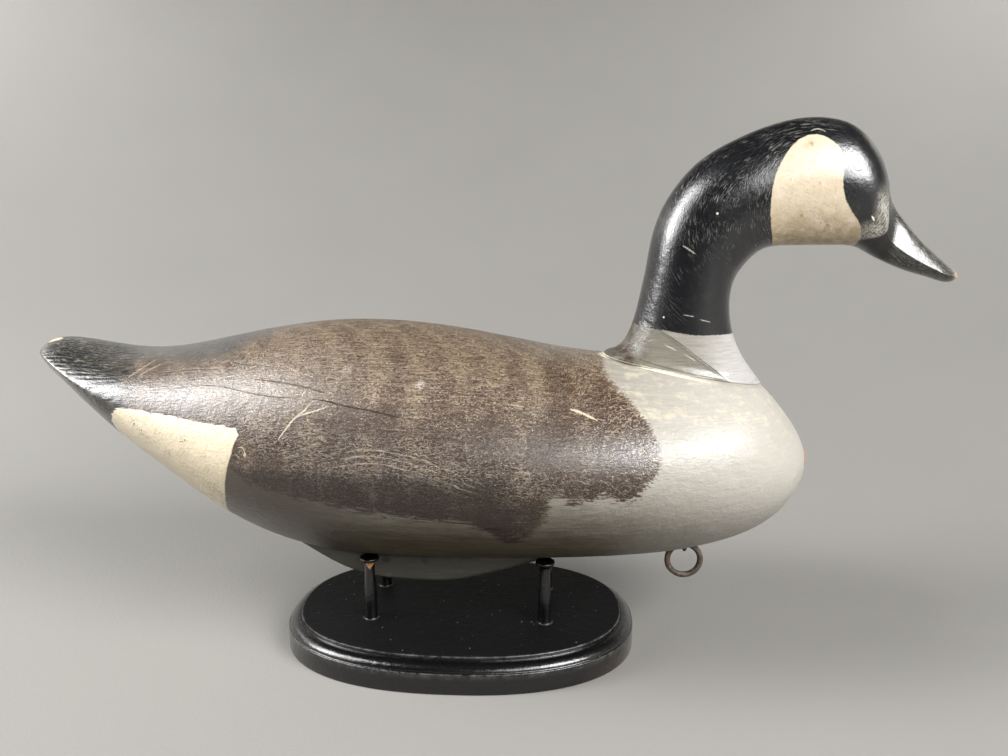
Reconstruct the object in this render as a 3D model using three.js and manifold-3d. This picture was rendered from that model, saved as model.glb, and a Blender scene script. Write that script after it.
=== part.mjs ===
// A carved and painted goose decoy on its display stand.
// The goose is a body with a keel below and a head and neck seated on its shoulder.
// It rests on four turned pegs that stand in an oval plaque.
// Millimetres, +Z up, the goose faces +X, origin at the middle of the plaque's underside.
import * as THREE from "three";
import { mergeVertices } from "three/addons/utils/BufferGeometryUtils.js";
import Module from "manifold-3d";

const wasm = await Module();
wasm.setup();

// The goose
const gooseLength = 630; // tail tip to bill tip
const keelThickness = 25.4;
const keelRound = 3;
const plugRadius = 5.6;
const plugDepth = 9;
const plugProud = 1.8; // how far the plug stands out of the breast
const plugRound = 1.2;

// The line tie under the breast
const ringRadius = 11.75; // to the middle of the wire
const ringWire = 2.2;
const ringClearance = 0.7; // under the body
const stapleWire = 1.4;
const stapleLegSpacing = 9;
const stapleLegDepth = 12;

// The stand
const plaqueLength = 252;
const plaqueWidth = 177;
const plaqueThickness = 22;
const plaqueSide = 14.6; // height of the plain side under the moulding
const mouldingWidth = 9.6;
const mouldingStep = 2.4; // height of the little step round the top
const pegSpacingX = 124;
const pegSpacingY = 54;
const pegStand = 46; // from the plaque's top to the top of a front peg's head
const pegHeadRadius = 6.9;
const pegTopRadius = 6.1; // of the flat on the head
const pegHeadThickness = 2.4;
const pegNeckRadius = 3.6;
const pegFootRadius = 4.9;
const tenonRadius = 3.2;
const tenonLength = 12;

const gap = 0.3; // between pieces that touch
const ovalPower = 2.34; // plan of the plaque, 2 would be an ellipse

const bodyRings = 42;
const bodySides = 34;
const neckRings = 40;
const neckSides = 26;

// The goose's outlines are drawn in units of about a thousandth of its length. x runs forward from
// above the middle of the stand, z up from just under the body. A rib joins the upper outline to
// the lower one: x and z above, x and z below, half width, the widest line's share of the height,
// and how lean the section is above and below that line (0 is an ellipse).
const bodyRibs = [
  [-467, 231, -467, 231, 0, 0.6, -0.02, 0.06],
  [-463, 241, -464, 220, 22, 0.64, -0.02, 0.08],
  [-454, 245, -457, 209, 38, 0.68, -0.02, 0.1],
  [-434, 244, -438, 193, 57, 0.68, -0.02, 0.14],
  [-391, 236.5, -398, 160, 82, 0.65, 0, 0.18],
  [-350, 233.5, -356, 129, 98, 0.6, 0.04, 0.2],
  [-292, 240.5, -300, 84, 115, 0.55, 0.06, 0.24],
  [-222, 255, -233, 37.5, 134, 0.52, 0.06, 0.27],
  [-154, 265.5, -160, 10.6, 148, 0.51, 0.05, 0.29],
  [-79, 267, -82, 2.6, 158, 0.51, 0.03, 0.3],
  [24, 254.5, 24, 1.6, 162, 0.51, 0.02, 0.3],
  [110, 238.5, 118, 4.6, 159, 0.52, 0.02, 0.29],
  [181, 231, 190, 9.6, 150, 0.52, 0.02, 0.27],
  [258, 226, 255, 19, 133, 0.52, 0.02, 0.23],
  [314, 212, 306, 34.5, 110, 0.52, 0.02, 0.18],
  [350, 178, 344, 58, 78, 0.52, 0, 0.12],
  [370, 148, 367, 88, 43, 0.52, 0, 0.05],
  [377, 119, 377, 119, 0, 0.5, 0, 0],
];

// The neck's upper outline is its back, then the crown and the ridge of the bill.
// Its lower outline is the neck's front, then the throat, the chin and the bill's underside.
const neckRibs = [
  [132, 190, 352, 168, 56, 0.5, 0, 0],
  [153, 231, 329, 203, 48, 0.5, 0, 0],
  [176, 243, 309, 230, 45, 0.5, 0, 0],
  [188, 264, 297, 254, 43.5, 0.5, 0, 0],
  [196, 296, 291, 287, 43, 0.5, 0, 0],
  [202, 330, 294, 312, 43, 0.5, 0, 0],
  [210, 371, 305, 331, 44, 0.5, 0, 0],
  [228, 408, 320, 345, 45, 0.5, 0, 0],
  [254, 437, 337, 350, 45.5, 0.5, 0, 0],
  [293, 460, 355, 350.5, 46, 0.5, 0, 0],
  [333, 475, 375, 350.7, 46, 0.48, 0.02, -0.02],
  [372, 480, 394, 351, 45, 0.47, 0.04, -0.04],
  [404, 472.5, 408, 351, 43, 0.46, 0.06, -0.04],
  [426, 454, 419, 348, 39, 0.44, 0.08, -0.02],
  [440, 430, 427, 344, 34, 0.42, 0.1, 0],
  [448, 407, 434, 340, 29, 0.4, 0.1, 0.02],
];
const billRibs = [
  [453, 394, 440, 337, 23, 0.36, 0.06, 0.06],
  [467, 375, 456, 330, 20, 0.34, 0.06, 0.08],
  [484, 356, 476, 323, 17.5, 0.34, 0.06, 0.1],
  [503, 339, 498, 316.5, 14, 0.36, 0.04, 0.1],
  [518, 327, 517, 312.5, 9.5, 0.42, 0, 0.05],
  [525.5, 319, 525.5, 319, 0, 0.5, 0, 0],
];
const share = gooseLength / (billRibs.at(-1)[0] - bodyRibs[0][0]); // one unit in millimetres

// A natural cubic spline through rows of numbers, one knot to a row.
function spline(knots, rows) {
  const last = rows.length - 1;
  const bends = rows[0].map((_, column) => {
    const bend = new Array(last + 1).fill(0);
    const ratio = new Array(last + 1).fill(0);
    for (let i = 1; i < last; i++) {
      const before = knots[i] - knots[i - 1];
      const after = knots[i + 1] - knots[i];
      const rise =
        (rows[i + 1][column] - rows[i][column]) / after -
        (rows[i][column] - rows[i - 1][column]) / before;
      const pivot = 2 * (before + after) - before * ratio[i - 1];
      ratio[i] = after / pivot;
      bend[i] = (6 * rise - before * bend[i - 1]) / pivot;
    }
    for (let i = last - 1; i > 0; i--) bend[i] -= ratio[i] * bend[i + 1];
    return bend;
  });
  return (t) => {
    let i = 0;
    while (i < last - 1 && t > knots[i + 1]) i++;
    const width = knots[i + 1] - knots[i];
    const b = (t - knots[i]) / width;
    const a = 1 - b;
    return rows[i].map(
      (value, column) =>
        a * value +
        b * rows[i + 1][column] +
        (((a ** 3 - a) * bends[column][i] + (b ** 3 - b) * bends[column][i + 1]) * width ** 2) / 6,
    );
  };
}

// Past a closed end the ribs go on with their two outlines swapped, so that the end is round.
function mirrored([upperX, upperZ, lowerX, lowerZ, half, seat, above, below]) {
  return [lowerX, lowerZ, upperX, upperZ, -half, 1 - seat, below, above];
}

// The form through a row of ribs, as a function of a share of the way along it.
function ribForm(ribs, startCloses, endCloses) {
  const head = startCloses ? [mirrored(ribs[2]), mirrored(ribs[1])] : [];
  const tail = endCloses ? [mirrored(ribs.at(-2)), mirrored(ribs.at(-3))] : [];
  const rows = [...head, ...ribs, ...tail];
  const knots = [0];
  for (let i = 1; i < rows.length; i++) {
    const [a, b] = [rows[i - 1], rows[i]];
    const upper = Math.hypot(b[0] - a[0], b[1] - a[1]);
    const lower = Math.hypot(b[2] - a[2], b[3] - a[3]);
    knots.push(knots[i - 1] + Math.hypot((upper + lower) / 2, b[4] - a[4]));
  }
  const at = spline(knots, rows);
  const from = knots[head.length];
  const to = knots[head.length + ribs.length - 1];
  return (t) => at(from + (to - from) * t);
}

// A point of a rib's section, counted round from the goose's left side over the top.
function sectionPoint([upperX, upperZ, lowerX, lowerZ, half, seat, above, below], turn) {
  const rise = Math.sin(turn);
  const lean = rise > 0 ? above : below;
  const along = rise > 0 ? seat + (1 - seat) * rise : seat * (1 + rise);
  return new THREE.Vector3(
    lowerX + (upperX - lowerX) * along,
    half * Math.cos(turn) * (1 - lean * rise * rise),
    lowerZ + (upperZ - lowerZ) * along,
  ).multiplyScalar(share);
}

// A closed mesh through rings of points. An end ring is a single point, or is closed flat.
function skin(rings) {
  const points = [];
  const starts = [];
  for (const ring of rings) {
    starts.push(points.length);
    points.push(...ring);
  }
  const faces = [];
  const sides = Math.max(...rings.map((ring) => ring.length));
  const index = (ring, side) =>
    starts[ring] + (rings[ring].length === 1 ? 0 : side % rings[ring].length);
  for (let ring = 0; ring < rings.length - 1; ring++)
    for (let side = 0; side < sides; side++) {
      const [a, b] = [index(ring, side), index(ring, side + 1)];
      const [c, d] = [index(ring + 1, side), index(ring + 1, side + 1)];
      if (a !== b) faces.push(a, b, d);
      if (c !== d) faces.push(a, d, c);
    }
  for (const ring of [0, rings.length - 1])
    if (rings[ring].length > 1)
      for (let side = 1; side < sides - 1; side++) {
        const [a, b] = [index(ring, side), index(ring, side + 1)];
        faces.push(index(ring, 0), ring ? a : b, ring ? b : a);
      }
  const geometry = new THREE.BufferGeometry().setFromPoints(points);
  return geometry.setIndex(faces);
}

function ribRings(form, count, sides, startCloses, endCloses) {
  return Array.from({ length: count + 1 }, (_, i) => {
    const pole = (i === 0 && startCloses) || (i === count && endCloses);
    // a closed end has its rings closer together
    const even = i / count;
    const eased = (1 - Math.cos(Math.PI * even)) / 2;
    const t = even + (eased - even) * 0.55;
    const rib = form(t);
    if (pole) return [sectionPoint([...rib.slice(0, 4), 0, ...rib.slice(5)], 0)];
    return Array.from({ length: sides }, (_, k) => sectionPoint(rib, (2 * Math.PI * k) / sides));
  });
}

// A solid for joining and cutting
function solidOf(geometry) {
  const bare = geometry.index ? geometry.toNonIndexed() : geometry.clone();
  const position = new THREE.BufferGeometry().setAttribute("position", bare.getAttribute("position"));
  const merged = mergeVertices(position, 1e-4);
  return new wasm.Manifold(
    new wasm.Mesh({
      numProp: 3,
      vertProperties: merged.attributes.position.array,
      triVerts: new Uint32Array(merged.index.array),
    }),
  );
}

function geometryOf(solid) {
  const mesh = solid.getMesh();
  const position = new Float32Array(mesh.numVert * 3);
  for (let i = 0; i < mesh.numVert; i++)
    position.set(mesh.vertProperties.subarray(i * mesh.numProp, i * mesh.numProp + 3), i * 3);
  const geometry = new THREE.BufferGeometry();
  geometry.setAttribute("position", new THREE.BufferAttribute(position, 3));
  geometry.setIndex(new THREE.BufferAttribute(new Uint32Array(mesh.triVerts), 1));
  return geometry;
}

const bodyForm = ribForm(bodyRibs, true, true);
const neckForm = ribForm([...neckRibs, ...billRibs], false, true);
const bodyBlank = solidOf(skin(ribRings(bodyForm, bodyRings, bodySides, true, true)));
const neckBlank = solidOf(skin(ribRings(neckForm, neckRings, neckSides, false, true)));

// The neck is glued to the shoulder on a sloping flat: x and z at its back and its front.
const seamBack = [149, 235];
const seamFront = [329, 203];
const seamSlope = (seamFront[1] - seamBack[1]) / (seamFront[0] - seamBack[0]);

// Everything above the glue line, from the back of the neck forward.
function aboveSeam(clearance) {
  const length = 420 * share;
  const height = 320 * share;
  const width = 260 * share;
  const block = new THREE.BoxGeometry(length, width, height);
  block.translate(length / 2 - clearance, 0, height / 2 - clearance);
  block.rotateY(-Math.atan(seamSlope));
  block.translate(seamBack[0] * share, 0, seamBack[1] * share);
  return solidOf(block);
}

// The height of the body's underside where it is lowest within a small circle.
function undersideOver(x, y, radius) {
  const probe = new THREE.CylinderGeometry(radius, radius, 2 * gooseLength, 16);
  probe.rotateX(Math.PI / 2).translate(x, y, 0);
  return bodyBlank.intersect(solidOf(probe)).boundingBox().min[2];
}

function lathe(profile, segments) {
  return new THREE.LatheGeometry(
    profile.map(([r, h]) => new THREE.Vector2(r, h)),
    segments,
  ).rotateX(Math.PI / 2);
}

// A plain wooden plug fills a hole in the foremost point of the breast.
const breastTip = bodyRibs.at(-1).slice(0, 2).map((value) => value * share);
function plugShape(clearance) {
  const radius = plugRadius + clearance;
  const end = plugProud + clearance;
  const profile = [
    [0, -plugDepth - clearance],
    [radius, -plugDepth - clearance],
    [radius, end - plugRound],
    [radius * 0.75, end - plugRound / 4],
    [0, end],
  ];
  return lathe(profile, 20).rotateY(Math.PI / 2).translate(breastTip[0], 0, breastTip[1]);
}

// The keel's side outline, in the units of the ribs, from its heel forward.
const keelOutline = [
  [-180, 12],
  [-137, -13],
  [-100, -25.5],
  [-60, -29.5],
  [-18, -30],
  [18, -24],
  [52, -14.5],
  [88, -3],
  [112, 8],
];
const keelRoof = 20 * share; // up inside the body, before the body is cut away from it

// The board's sides are flat and its lower edges are rounded over: depth and inset.
const keelEdge = [
  [0, keelRound],
  [keelRound * 0.3, keelRound * 0.3],
  [keelRound, 0],
];
function makeKeel() {
  const under = new THREE.SplineCurve(
    keelOutline.map(([x, z]) => new THREE.Vector2(x * share, z * share)),
  ).getPoints(22);
  const middle = (under[0].x + under.at(-1).x) / 2;
  const reach = under.at(-1).x - middle;
  const slice = (y, inset) => [
    ...under.map(({ x, y: z }) => {
      const pulled = middle + (x - middle) * (1 - inset / reach);
      return new THREE.Vector3(pulled, y, z + inset);
    }),
    new THREE.Vector3(under.at(-1).x - inset, y, keelRoof),
    new THREE.Vector3(under[0].x + inset, y, keelRoof),
  ];
  const left = keelEdge.map(([depth, inset]) => slice(keelThickness / 2 - depth, inset));
  const right = keelEdge.map(([depth, inset]) => slice(depth - keelThickness / 2, inset)).reverse();
  return solidOf(skin([...left, ...right])).subtract(bodyBlank.translate(0, 0, -gap));
}

// The staple's crown spans across the goose and the ring hangs on it, clear of the body.
const tiePlace = 255; // in the units of the ribs
const tieX = tiePlace * share;
const tieUnderside = undersideOver(tieX, 0, ringWire);
const ringTop = tieUnderside - ringClearance;
const ringCentre = ringTop - ringRadius - ringWire;
const crownHeight = ringTop - 2 * ringWire - gap - stapleWire;

function makeRing() {
  return new THREE.TorusGeometry(ringRadius, ringWire, 8, 28)
    .rotateX(Math.PI / 2)
    .translate(tieX, 0, ringCentre);
}

function staplePath() {
  const top = tieUnderside + stapleLegDepth;
  const half = stapleLegSpacing / 2;
  const bendStart = crownHeight + half;
  const at = (y, z) => new THREE.Vector3(tieX, y, z);
  const path = new THREE.CurvePath();
  path.add(new THREE.LineCurve3(at(-half, top), at(-half, bendStart)));
  path.add(
    new THREE.QuadraticBezierCurve3(at(-half, bendStart), at(-half, crownHeight), at(0, crownHeight)),
  );
  path.add(
    new THREE.QuadraticBezierCurve3(at(0, crownHeight), at(half, crownHeight), at(half, bendStart)),
  );
  path.add(new THREE.LineCurve3(at(half, bendStart), at(half, top)));
  return path;
}

function stapleShape(radius) {
  const section = new THREE.Shape(
    Array.from({ length: 8 }, (_, k) => {
      const turn = (2 * Math.PI * k) / 8;
      return new THREE.Vector2(radius * Math.cos(turn), radius * Math.sin(turn));
    }),
  );
  return new THREE.ExtrudeGeometry(section, { extrudePath: staplePath(), steps: 28 });
}

// The plaque is a stack of ovals, each set in from the one below.
function oval(inset, height) {
  const count = 72;
  return Array.from({ length: count }, (_, k) => {
    const turn = (2 * Math.PI * k) / count;
    const [c, s] = [Math.cos(turn), Math.sin(turn)];
    return new THREE.Vector3(
      (plaqueLength / 2 - inset) * Math.sign(c) * Math.abs(c) ** (2 / ovalPower),
      (plaqueWidth / 2 - inset) * Math.sign(s) * Math.abs(s) ** (2 / ovalPower),
      height,
    );
  });
}

const pegPlaces = [
  ["peg_front_right", 1, -1],
  ["peg_front_left", 1, 1],
  ["peg_back_right", -1, -1],
  ["peg_back_left", -1, 1],
].map(([name, x, y]) => ({ name, x: (x * pegSpacingX) / 2, y: (y * pegSpacingY) / 2 }));

function makePlaque() {
  const stepFoot = plaqueThickness - mouldingStep;
  const rise = stepFoot - plaqueSide;
  const profile = [
    [0.8, 0],
    [0, 0.8],
    [0, plaqueSide - 0.6],
    [0.5, plaqueSide],
    [mouldingWidth * 0.15, plaqueSide + rise * 0.08],
    [mouldingWidth * 0.3, plaqueSide + rise * 0.42],
    [mouldingWidth * 0.55, plaqueSide + rise * 0.8],
    [mouldingWidth * 0.8, plaqueSide + rise * 0.97],
    [mouldingWidth * 0.94, stepFoot],
    [mouldingWidth * 0.95, plaqueThickness - 0.5],
    [mouldingWidth, plaqueThickness],
  ];
  let solid = solidOf(skin(profile.map(([inset, height]) => oval(inset, height))));
  for (const { x, y } of pegPlaces) {
    const hole = lathe(
      [
        [0, -tenonLength - gap],
        [tenonRadius + gap, -tenonLength - gap],
        [tenonRadius + gap, 1],
        [0, 1],
      ],
      16,
    );
    solid = solid.subtract(solidOf(hole.translate(x, y, plaqueThickness)));
  }
  return solid;
}

// A turned peg: tenon, shoulder, tapering shank and a thin head with a flat top.
function makePeg(stand) {
  const rim = stand - pegHeadThickness;
  return lathe(
    [
      [0, -tenonLength],
      [tenonRadius, -tenonLength],
      [tenonRadius, gap],
      [pegFootRadius, gap],
      [pegFootRadius * 0.97, stand * 0.25],
      [pegNeckRadius * 1.12, stand * 0.6],
      [pegNeckRadius, stand * 0.85],
      [pegNeckRadius * 1.25, rim - pegHeadThickness / 2],
      [pegHeadRadius * 0.93, rim],
      [pegHeadRadius, rim + pegHeadThickness / 3],
      [pegHeadRadius, rim + (pegHeadThickness * 2) / 3],
      [pegTopRadius, stand],
      [0, stand],
    ],
    18,
  );
}

// The goose comes down on its front pegs, and each peg is cut to reach the body above it.
const frontUnderside = undersideOver(pegPlaces[0].x, pegPlaces[0].y, pegTopRadius);
const gooseLift = plaqueThickness + pegStand + gap - frontUnderside;

const grey = new THREE.MeshStandardMaterial({ color: 0x8f8a80, roughness: 0.45, metalness: 0 });
const black = new THREE.MeshStandardMaterial({ color: 0x15161a, roughness: 0.35, metalness: 0 });
const darkGrey = new THREE.MeshStandardMaterial({ color: 0x4a463f, roughness: 0.5, metalness: 0 });
const bareWood = new THREE.MeshStandardMaterial({ color: 0xb98a5e, roughness: 0.8, metalness: 0 });
const iron = new THREE.MeshStandardMaterial({ color: 0x3a3836, roughness: 0.6, metalness: 1 });

function named(name, shape, material) {
  const geometry = shape.isBufferGeometry ? shape : geometryOf(shape);
  const mesh = new THREE.Mesh(geometry, material);
  mesh.name = name;
  return mesh;
}

const body = bodyBlank
  .subtract(aboveSeam(gap))
  .subtract(solidOf(plugShape(gap)))
  .subtract(solidOf(stapleShape(stapleWire + gap)));

const goose = new THREE.Group();
goose.add(
  named("body", body, grey),
  named("head_and_neck", neckBlank.intersect(aboveSeam(0)), black),
  named("keel", makeKeel(), darkGrey),
  named("breast_plug", solidOf(plugShape(0)), bareWood),
  named("staple", solidOf(stapleShape(stapleWire)), iron),
  named("line_ring", solidOf(makeRing()), iron),
);
goose.position.z = gooseLift;

const stand = new THREE.Group();
stand.add(named("plaque", makePlaque(), black));
for (const { name, x, y } of pegPlaces) {
  const underside = gooseLift + undersideOver(x, y, pegTopRadius);
  const peg = named(name, solidOf(makePeg(underside - gap - plaqueThickness)), black);
  peg.position.set(x, y, plaqueThickness);
  stand.add(peg);
}

const decoy = new THREE.Group();
decoy.add(goose, stand);

export default decoy;
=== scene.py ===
import math
from functools import partial

import bpy
import numpy as np
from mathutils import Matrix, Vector, noise
from mathutils.bvhtree import BVHTree


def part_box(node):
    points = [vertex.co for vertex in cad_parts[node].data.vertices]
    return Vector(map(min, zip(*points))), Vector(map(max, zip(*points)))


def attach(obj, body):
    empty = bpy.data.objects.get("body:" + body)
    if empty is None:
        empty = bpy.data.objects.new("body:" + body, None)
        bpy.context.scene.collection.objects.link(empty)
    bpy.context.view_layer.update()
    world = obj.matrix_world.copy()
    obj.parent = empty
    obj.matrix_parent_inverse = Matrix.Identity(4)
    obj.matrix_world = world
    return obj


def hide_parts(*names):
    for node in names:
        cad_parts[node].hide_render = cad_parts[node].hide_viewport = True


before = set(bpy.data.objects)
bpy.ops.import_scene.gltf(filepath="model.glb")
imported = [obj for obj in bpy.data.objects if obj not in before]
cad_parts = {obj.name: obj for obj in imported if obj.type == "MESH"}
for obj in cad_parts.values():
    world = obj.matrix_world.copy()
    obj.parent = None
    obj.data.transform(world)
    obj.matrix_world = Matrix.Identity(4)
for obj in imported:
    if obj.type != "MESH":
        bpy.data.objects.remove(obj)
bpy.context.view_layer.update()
print("frame loaded")

# A carved and painted goose decoy that stands on four turned pegs in an oval plaque.
# Shapes are worked out in millimetres and turned to metres when their mesh is made.
metres = 0.001
gap = 0.3  # between pieces that touch
glueGap = 0.06  # between the neck and the body, which are glued


def smoothStep(low, high, value):
    t = np.clip((value - low) / (high - low), 0, 1)
    return t * t * (3 - 2 * t)


def spline(knots, rows):
    # a natural cubic spline through rows of numbers, one knot to a row
    last = len(rows) - 1
    bend = np.zeros_like(rows)
    ratio = np.zeros(last + 1)
    for i in range(1, last):
        before, after = knots[i] - knots[i - 1], knots[i + 1] - knots[i]
        rise = (rows[i + 1] - rows[i]) / after - (rows[i] - rows[i - 1]) / before
        pivot = 2 * (before + after) - before * ratio[i - 1]
        ratio[i] = after / pivot
        bend[i] = (6 * rise - before * bend[i - 1]) / pivot
    for i in range(last - 1, 0, -1):
        bend[i] -= ratio[i] * bend[i + 1]

    def at(t):
        i = np.clip(np.searchsorted(knots, t, side="right") - 1, 0, last - 1)
        width = (knots[i + 1] - knots[i])[..., None]
        b = (t - knots[i])[..., None] / width
        a = 1 - b
        curve = (a**3 - a) * bend[i] + (b**3 - b) * bend[i + 1]
        return a * rows[i] + b * rows[i + 1] + curve * width**2 / 6

    return at


def throughPoints(points, step=2.0):
    # a smooth line through a few points, as points about a step apart
    rows = np.array(points, float)
    steps = np.linalg.norm(np.diff(rows, axis=0), axis=1)
    knots = np.concatenate([[0], np.cumsum(steps)])
    count = max(2, int(knots[-1] / step) + 1)
    return [tuple(p) for p in spline(knots, rows)(np.linspace(0, knots[-1], count))]


def besideLine(x, z, line):
    # distance to a line, the side of it, how far along it the nearest place is, and its length
    nearest = np.full(x.shape, np.inf)
    side = np.ones(x.shape)
    along = np.zeros(x.shape)
    done = 0.0
    for (ax, az), (bx, bz) in zip(line[:-1], line[1:]):
        dx, dz = bx - ax, bz - az
        length = math.hypot(dx, dz)
        t = np.clip(((x - ax) * dx + (z - az) * dz) / length**2, 0, 1)
        away = np.hypot(x - ax - t * dx, z - az - t * dz)
        closer = away < nearest
        nearest = np.where(closer, away, nearest)
        side = np.where(closer, np.where(dx * (z - az) > dz * (x - ax), 1, -1), side)
        along = np.where(closer, done + t * length, along)
        done += length
    return nearest, side, along, done


def insideOutline(x, z, outline):
    # how far inside a closed outline, less than 0 outside it
    inside = np.zeros(x.shape, bool)
    closed = list(outline) + [outline[0]]
    for (ax, az), (bx, bz) in zip(closed[:-1], closed[1:]):
        if az != bz:
            crosses = (az > z) != (bz > z)
            inside ^= crosses & (x < ax + (z - az) * (bx - ax) / (bz - az))
    nearest = besideLine(x, z, closed)[0]
    return np.where(inside, nearest, -nearest)


farAway = 99.0  # the value of a field where there is nothing to be near
taperShare = 0.25  # of a mark's length, at each end
leastWidth = 0.01  # mm, of a mark at its very ends
markEdge = (0.4, 1.1)  # a mark fades out between these, in half widths


def markField(points, line, width):
    # Signed distance to a scratch or crack in half widths, so that it is on the mark from -1 to 1.
    # The mark tapers to its ends, and is on the near side alone: the goose's right.
    away, side, along, length = besideLine(points[..., 0], points[..., 2], throughPoints(line))
    taper = np.clip(np.minimum(along, length - along) / (taperShare * length), 0, 1)
    field = side * away / np.maximum(width / 2 * np.sqrt(taper), leastWidth)
    return np.where(points[..., 1] < 0, field, farAway)


def spotField(points, spots):
    # 1 in the middle of a spot, 0 at its edge and less outside; a spot is x, z and radius
    field = np.full(points.shape[:-1], -1.0)
    for x, z, radius in spots:
        away = np.hypot(points[..., 0] - x, points[..., 2] - z) / radius
        field = np.maximum(field, 1 - away)
    return np.where(points[..., 1] < 0, field, -1.0)


noiseShift = 17.3  # each seed reads its own part of the noise


def softNoise(points, size, seed):
    # smooth noise from about -1 to 1, with features of a size in millimetres
    flat = points.reshape(-1, 3) / size + noiseShift * seed
    return np.array([noise.noise(Vector(p)) for p in flat]).reshape(points.shape[:-1])


def makeMesh(name, vertices, faces, fields=None):
    mesh = bpy.data.meshes.new(name)
    mesh.from_pydata((np.asarray(vertices) * metres).tolist(), [], faces)
    for field, values in (fields or {}).items():
        attribute = mesh.attributes.new(field, "FLOAT", "POINT")
        attribute.data.foreach_set("value", np.asarray(values, np.float32).ravel())
    mesh.shade_smooth()
    mesh.update()
    piece = bpy.data.objects.new(name, mesh)
    bpy.context.scene.collection.objects.link(piece)
    return piece


def makeForm(name, points, fields=None, startPoint=True, endPoint=True):
    # A closed form through rings of points. A ring at an end is one point, or is closed flat.
    rings, sides = points.shape[:2]
    index = np.arange(rings * sides).reshape(rings, sides)
    keep = np.ones((rings, sides), bool)
    if startPoint:
        index[0] = 0
        keep[0, 1:] = False
    if endPoint:
        index[-1] = index[-1, 0]
        keep[-1, 1:] = False
    renumber = np.cumsum(keep.ravel()) - 1
    index = renumber[index]
    vertices = points.reshape(-1, 3)[keep.ravel()]
    a, b = index[:-1], np.roll(index, -1, 1)[:-1]
    c, d = index[1:], np.roll(index, -1, 1)[1:]
    corners = vertices[np.stack([a, b, d, c], -1).reshape(-1, 4)]
    volume = np.einsum("ij,ij->i", corners[:, 0], np.cross(corners[:, 1], corners[:, 2])).sum()
    volume += np.einsum("ij,ij->i", corners[:, 0], np.cross(corners[:, 2], corners[:, 3])).sum()
    for flat, ring in ((not startPoint, points[0][::-1]), (not endPoint, points[-1])):
        if flat:
            volume += (np.cross(ring[1:-1], ring[2:]) @ ring[0]).sum()
    outward = volume > 0
    faces = []
    for row, (i, j, k, h) in enumerate(zip(a, b, d, c)):
        if row == 0 and startPoint:
            row = np.stack([i, k, h], -1)
        elif row == rings - 2 and endPoint:
            row = np.stack([i, j, k], -1)
        else:
            row = np.stack([i, j, k, h], -1)
        faces += (row if outward else row[:, ::-1]).tolist()
    if not startPoint:
        faces.append((index[0][::-1] if outward else index[0]).tolist())
    if not endPoint:
        faces.append((index[-1] if outward else index[-1][::-1]).tolist())
    keptFields = {field: values.ravel()[keep.ravel()] for field, values in (fields or {}).items()}
    return makeMesh(name, vertices, faces, keptFields)


def gridFaces(rings, sides, loop=False):
    # four-cornered faces between rings of points; a loop joins the last ring to the first
    last = rings if loop else rings - 1
    return [(i * sides + j, i * sides + (j + 1) % sides,
             (i + 1) % rings * sides + (j + 1) % sides, (i + 1) % rings * sides + j)
            for i in range(last) for j in range(sides)]


def gridNormals(points):
    # the outward direction at each point of a form, which turns round its rings
    forward = np.gradient(points, axis=0)
    around = np.roll(points, -1, 1) - np.roll(points, 1, 1)
    normals = np.cross(around, forward)
    return normals / np.maximum(np.linalg.norm(normals, axis=-1, keepdims=True), 1e-9)


def lathe(profile, sides):
    # rings round the z axis from a profile of radius and height
    turn = np.linspace(0, 2 * math.pi, sides, endpoint=False)
    r, h = np.array(profile, float).T
    return np.stack([np.outer(r, np.cos(turn)), np.outer(r, np.sin(turn)), np.outer(h, 0 * turn + 1)], -1)


def dress(piece, node, material):
    # the piece stands for its CAD node, which is hidden, and takes the finish it is given
    piece.data.materials.append(material)
    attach(piece, "root")
    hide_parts(node)
    print(piece.name, "made with", len(piece.data.polygons), "faces")


def colour(code):
    # an sRGB hex value as linear red, green, blue and alpha
    channels = [int(code[i : i + 2], 16) / 255 for i in (1, 3, 5)]
    linear = [c / 12.92 if c <= 0.04045 else ((c + 0.055) / 1.055) ** 2.4 for c in channels]
    return (*linear, 1.0)


def addNode(tree, kind, inputs=None, out=0, **settings):
    # inputs holds a value or another node's output for each socket; the node's output is returned
    node = tree.nodes.new("ShaderNode" + kind)
    for name, value in settings.items():
        setattr(node, name, value)
    for socket, value in (inputs or {}).items():
        if isinstance(value, bpy.types.NodeSocket):
            tree.links.new(value, node.inputs[socket])
        else:
            node.inputs[socket].default_value = value
    return node.outputs[out] if node.outputs else node


ofColours = {"out": 2, "data_type": "RGBA"}  # a Mix node's settings: 0 amount, 6 and 7 colours
eased = {"interpolation_type": "SMOOTHSTEP"}  # a MapRange node's
# a share goes evenly from end to end, or eases in and out, or isn't held within its ends
kinds = {"even": {}, "soft": eased, "open": {"clamp": False}}
times = {"operation": "MULTIPLY"}
plus = {"operation": "ADD"}
minus = {"operation": "SUBTRACT"}
timesPlus = {"operation": "MULTIPLY_ADD"}
larger = {"operation": "MAXIMUM"}
without = {"operation": "ABSOLUTE"}
noiseMiddle = 0.5  # the middle value of a noise pattern
strokeRoughness = 0.65  # how much finer noise there is in a pattern of strokes
rayNoise = {"Scale": 1, "Detail": 2, "Roughness": 0.5, "Distortion": 0.3}


def between(start, end, before, after):
    # a MapRange node's ends: where a value starts and ends, and what it becomes at each
    return {1: start, 2: end, 3: before, 4: after}


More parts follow.
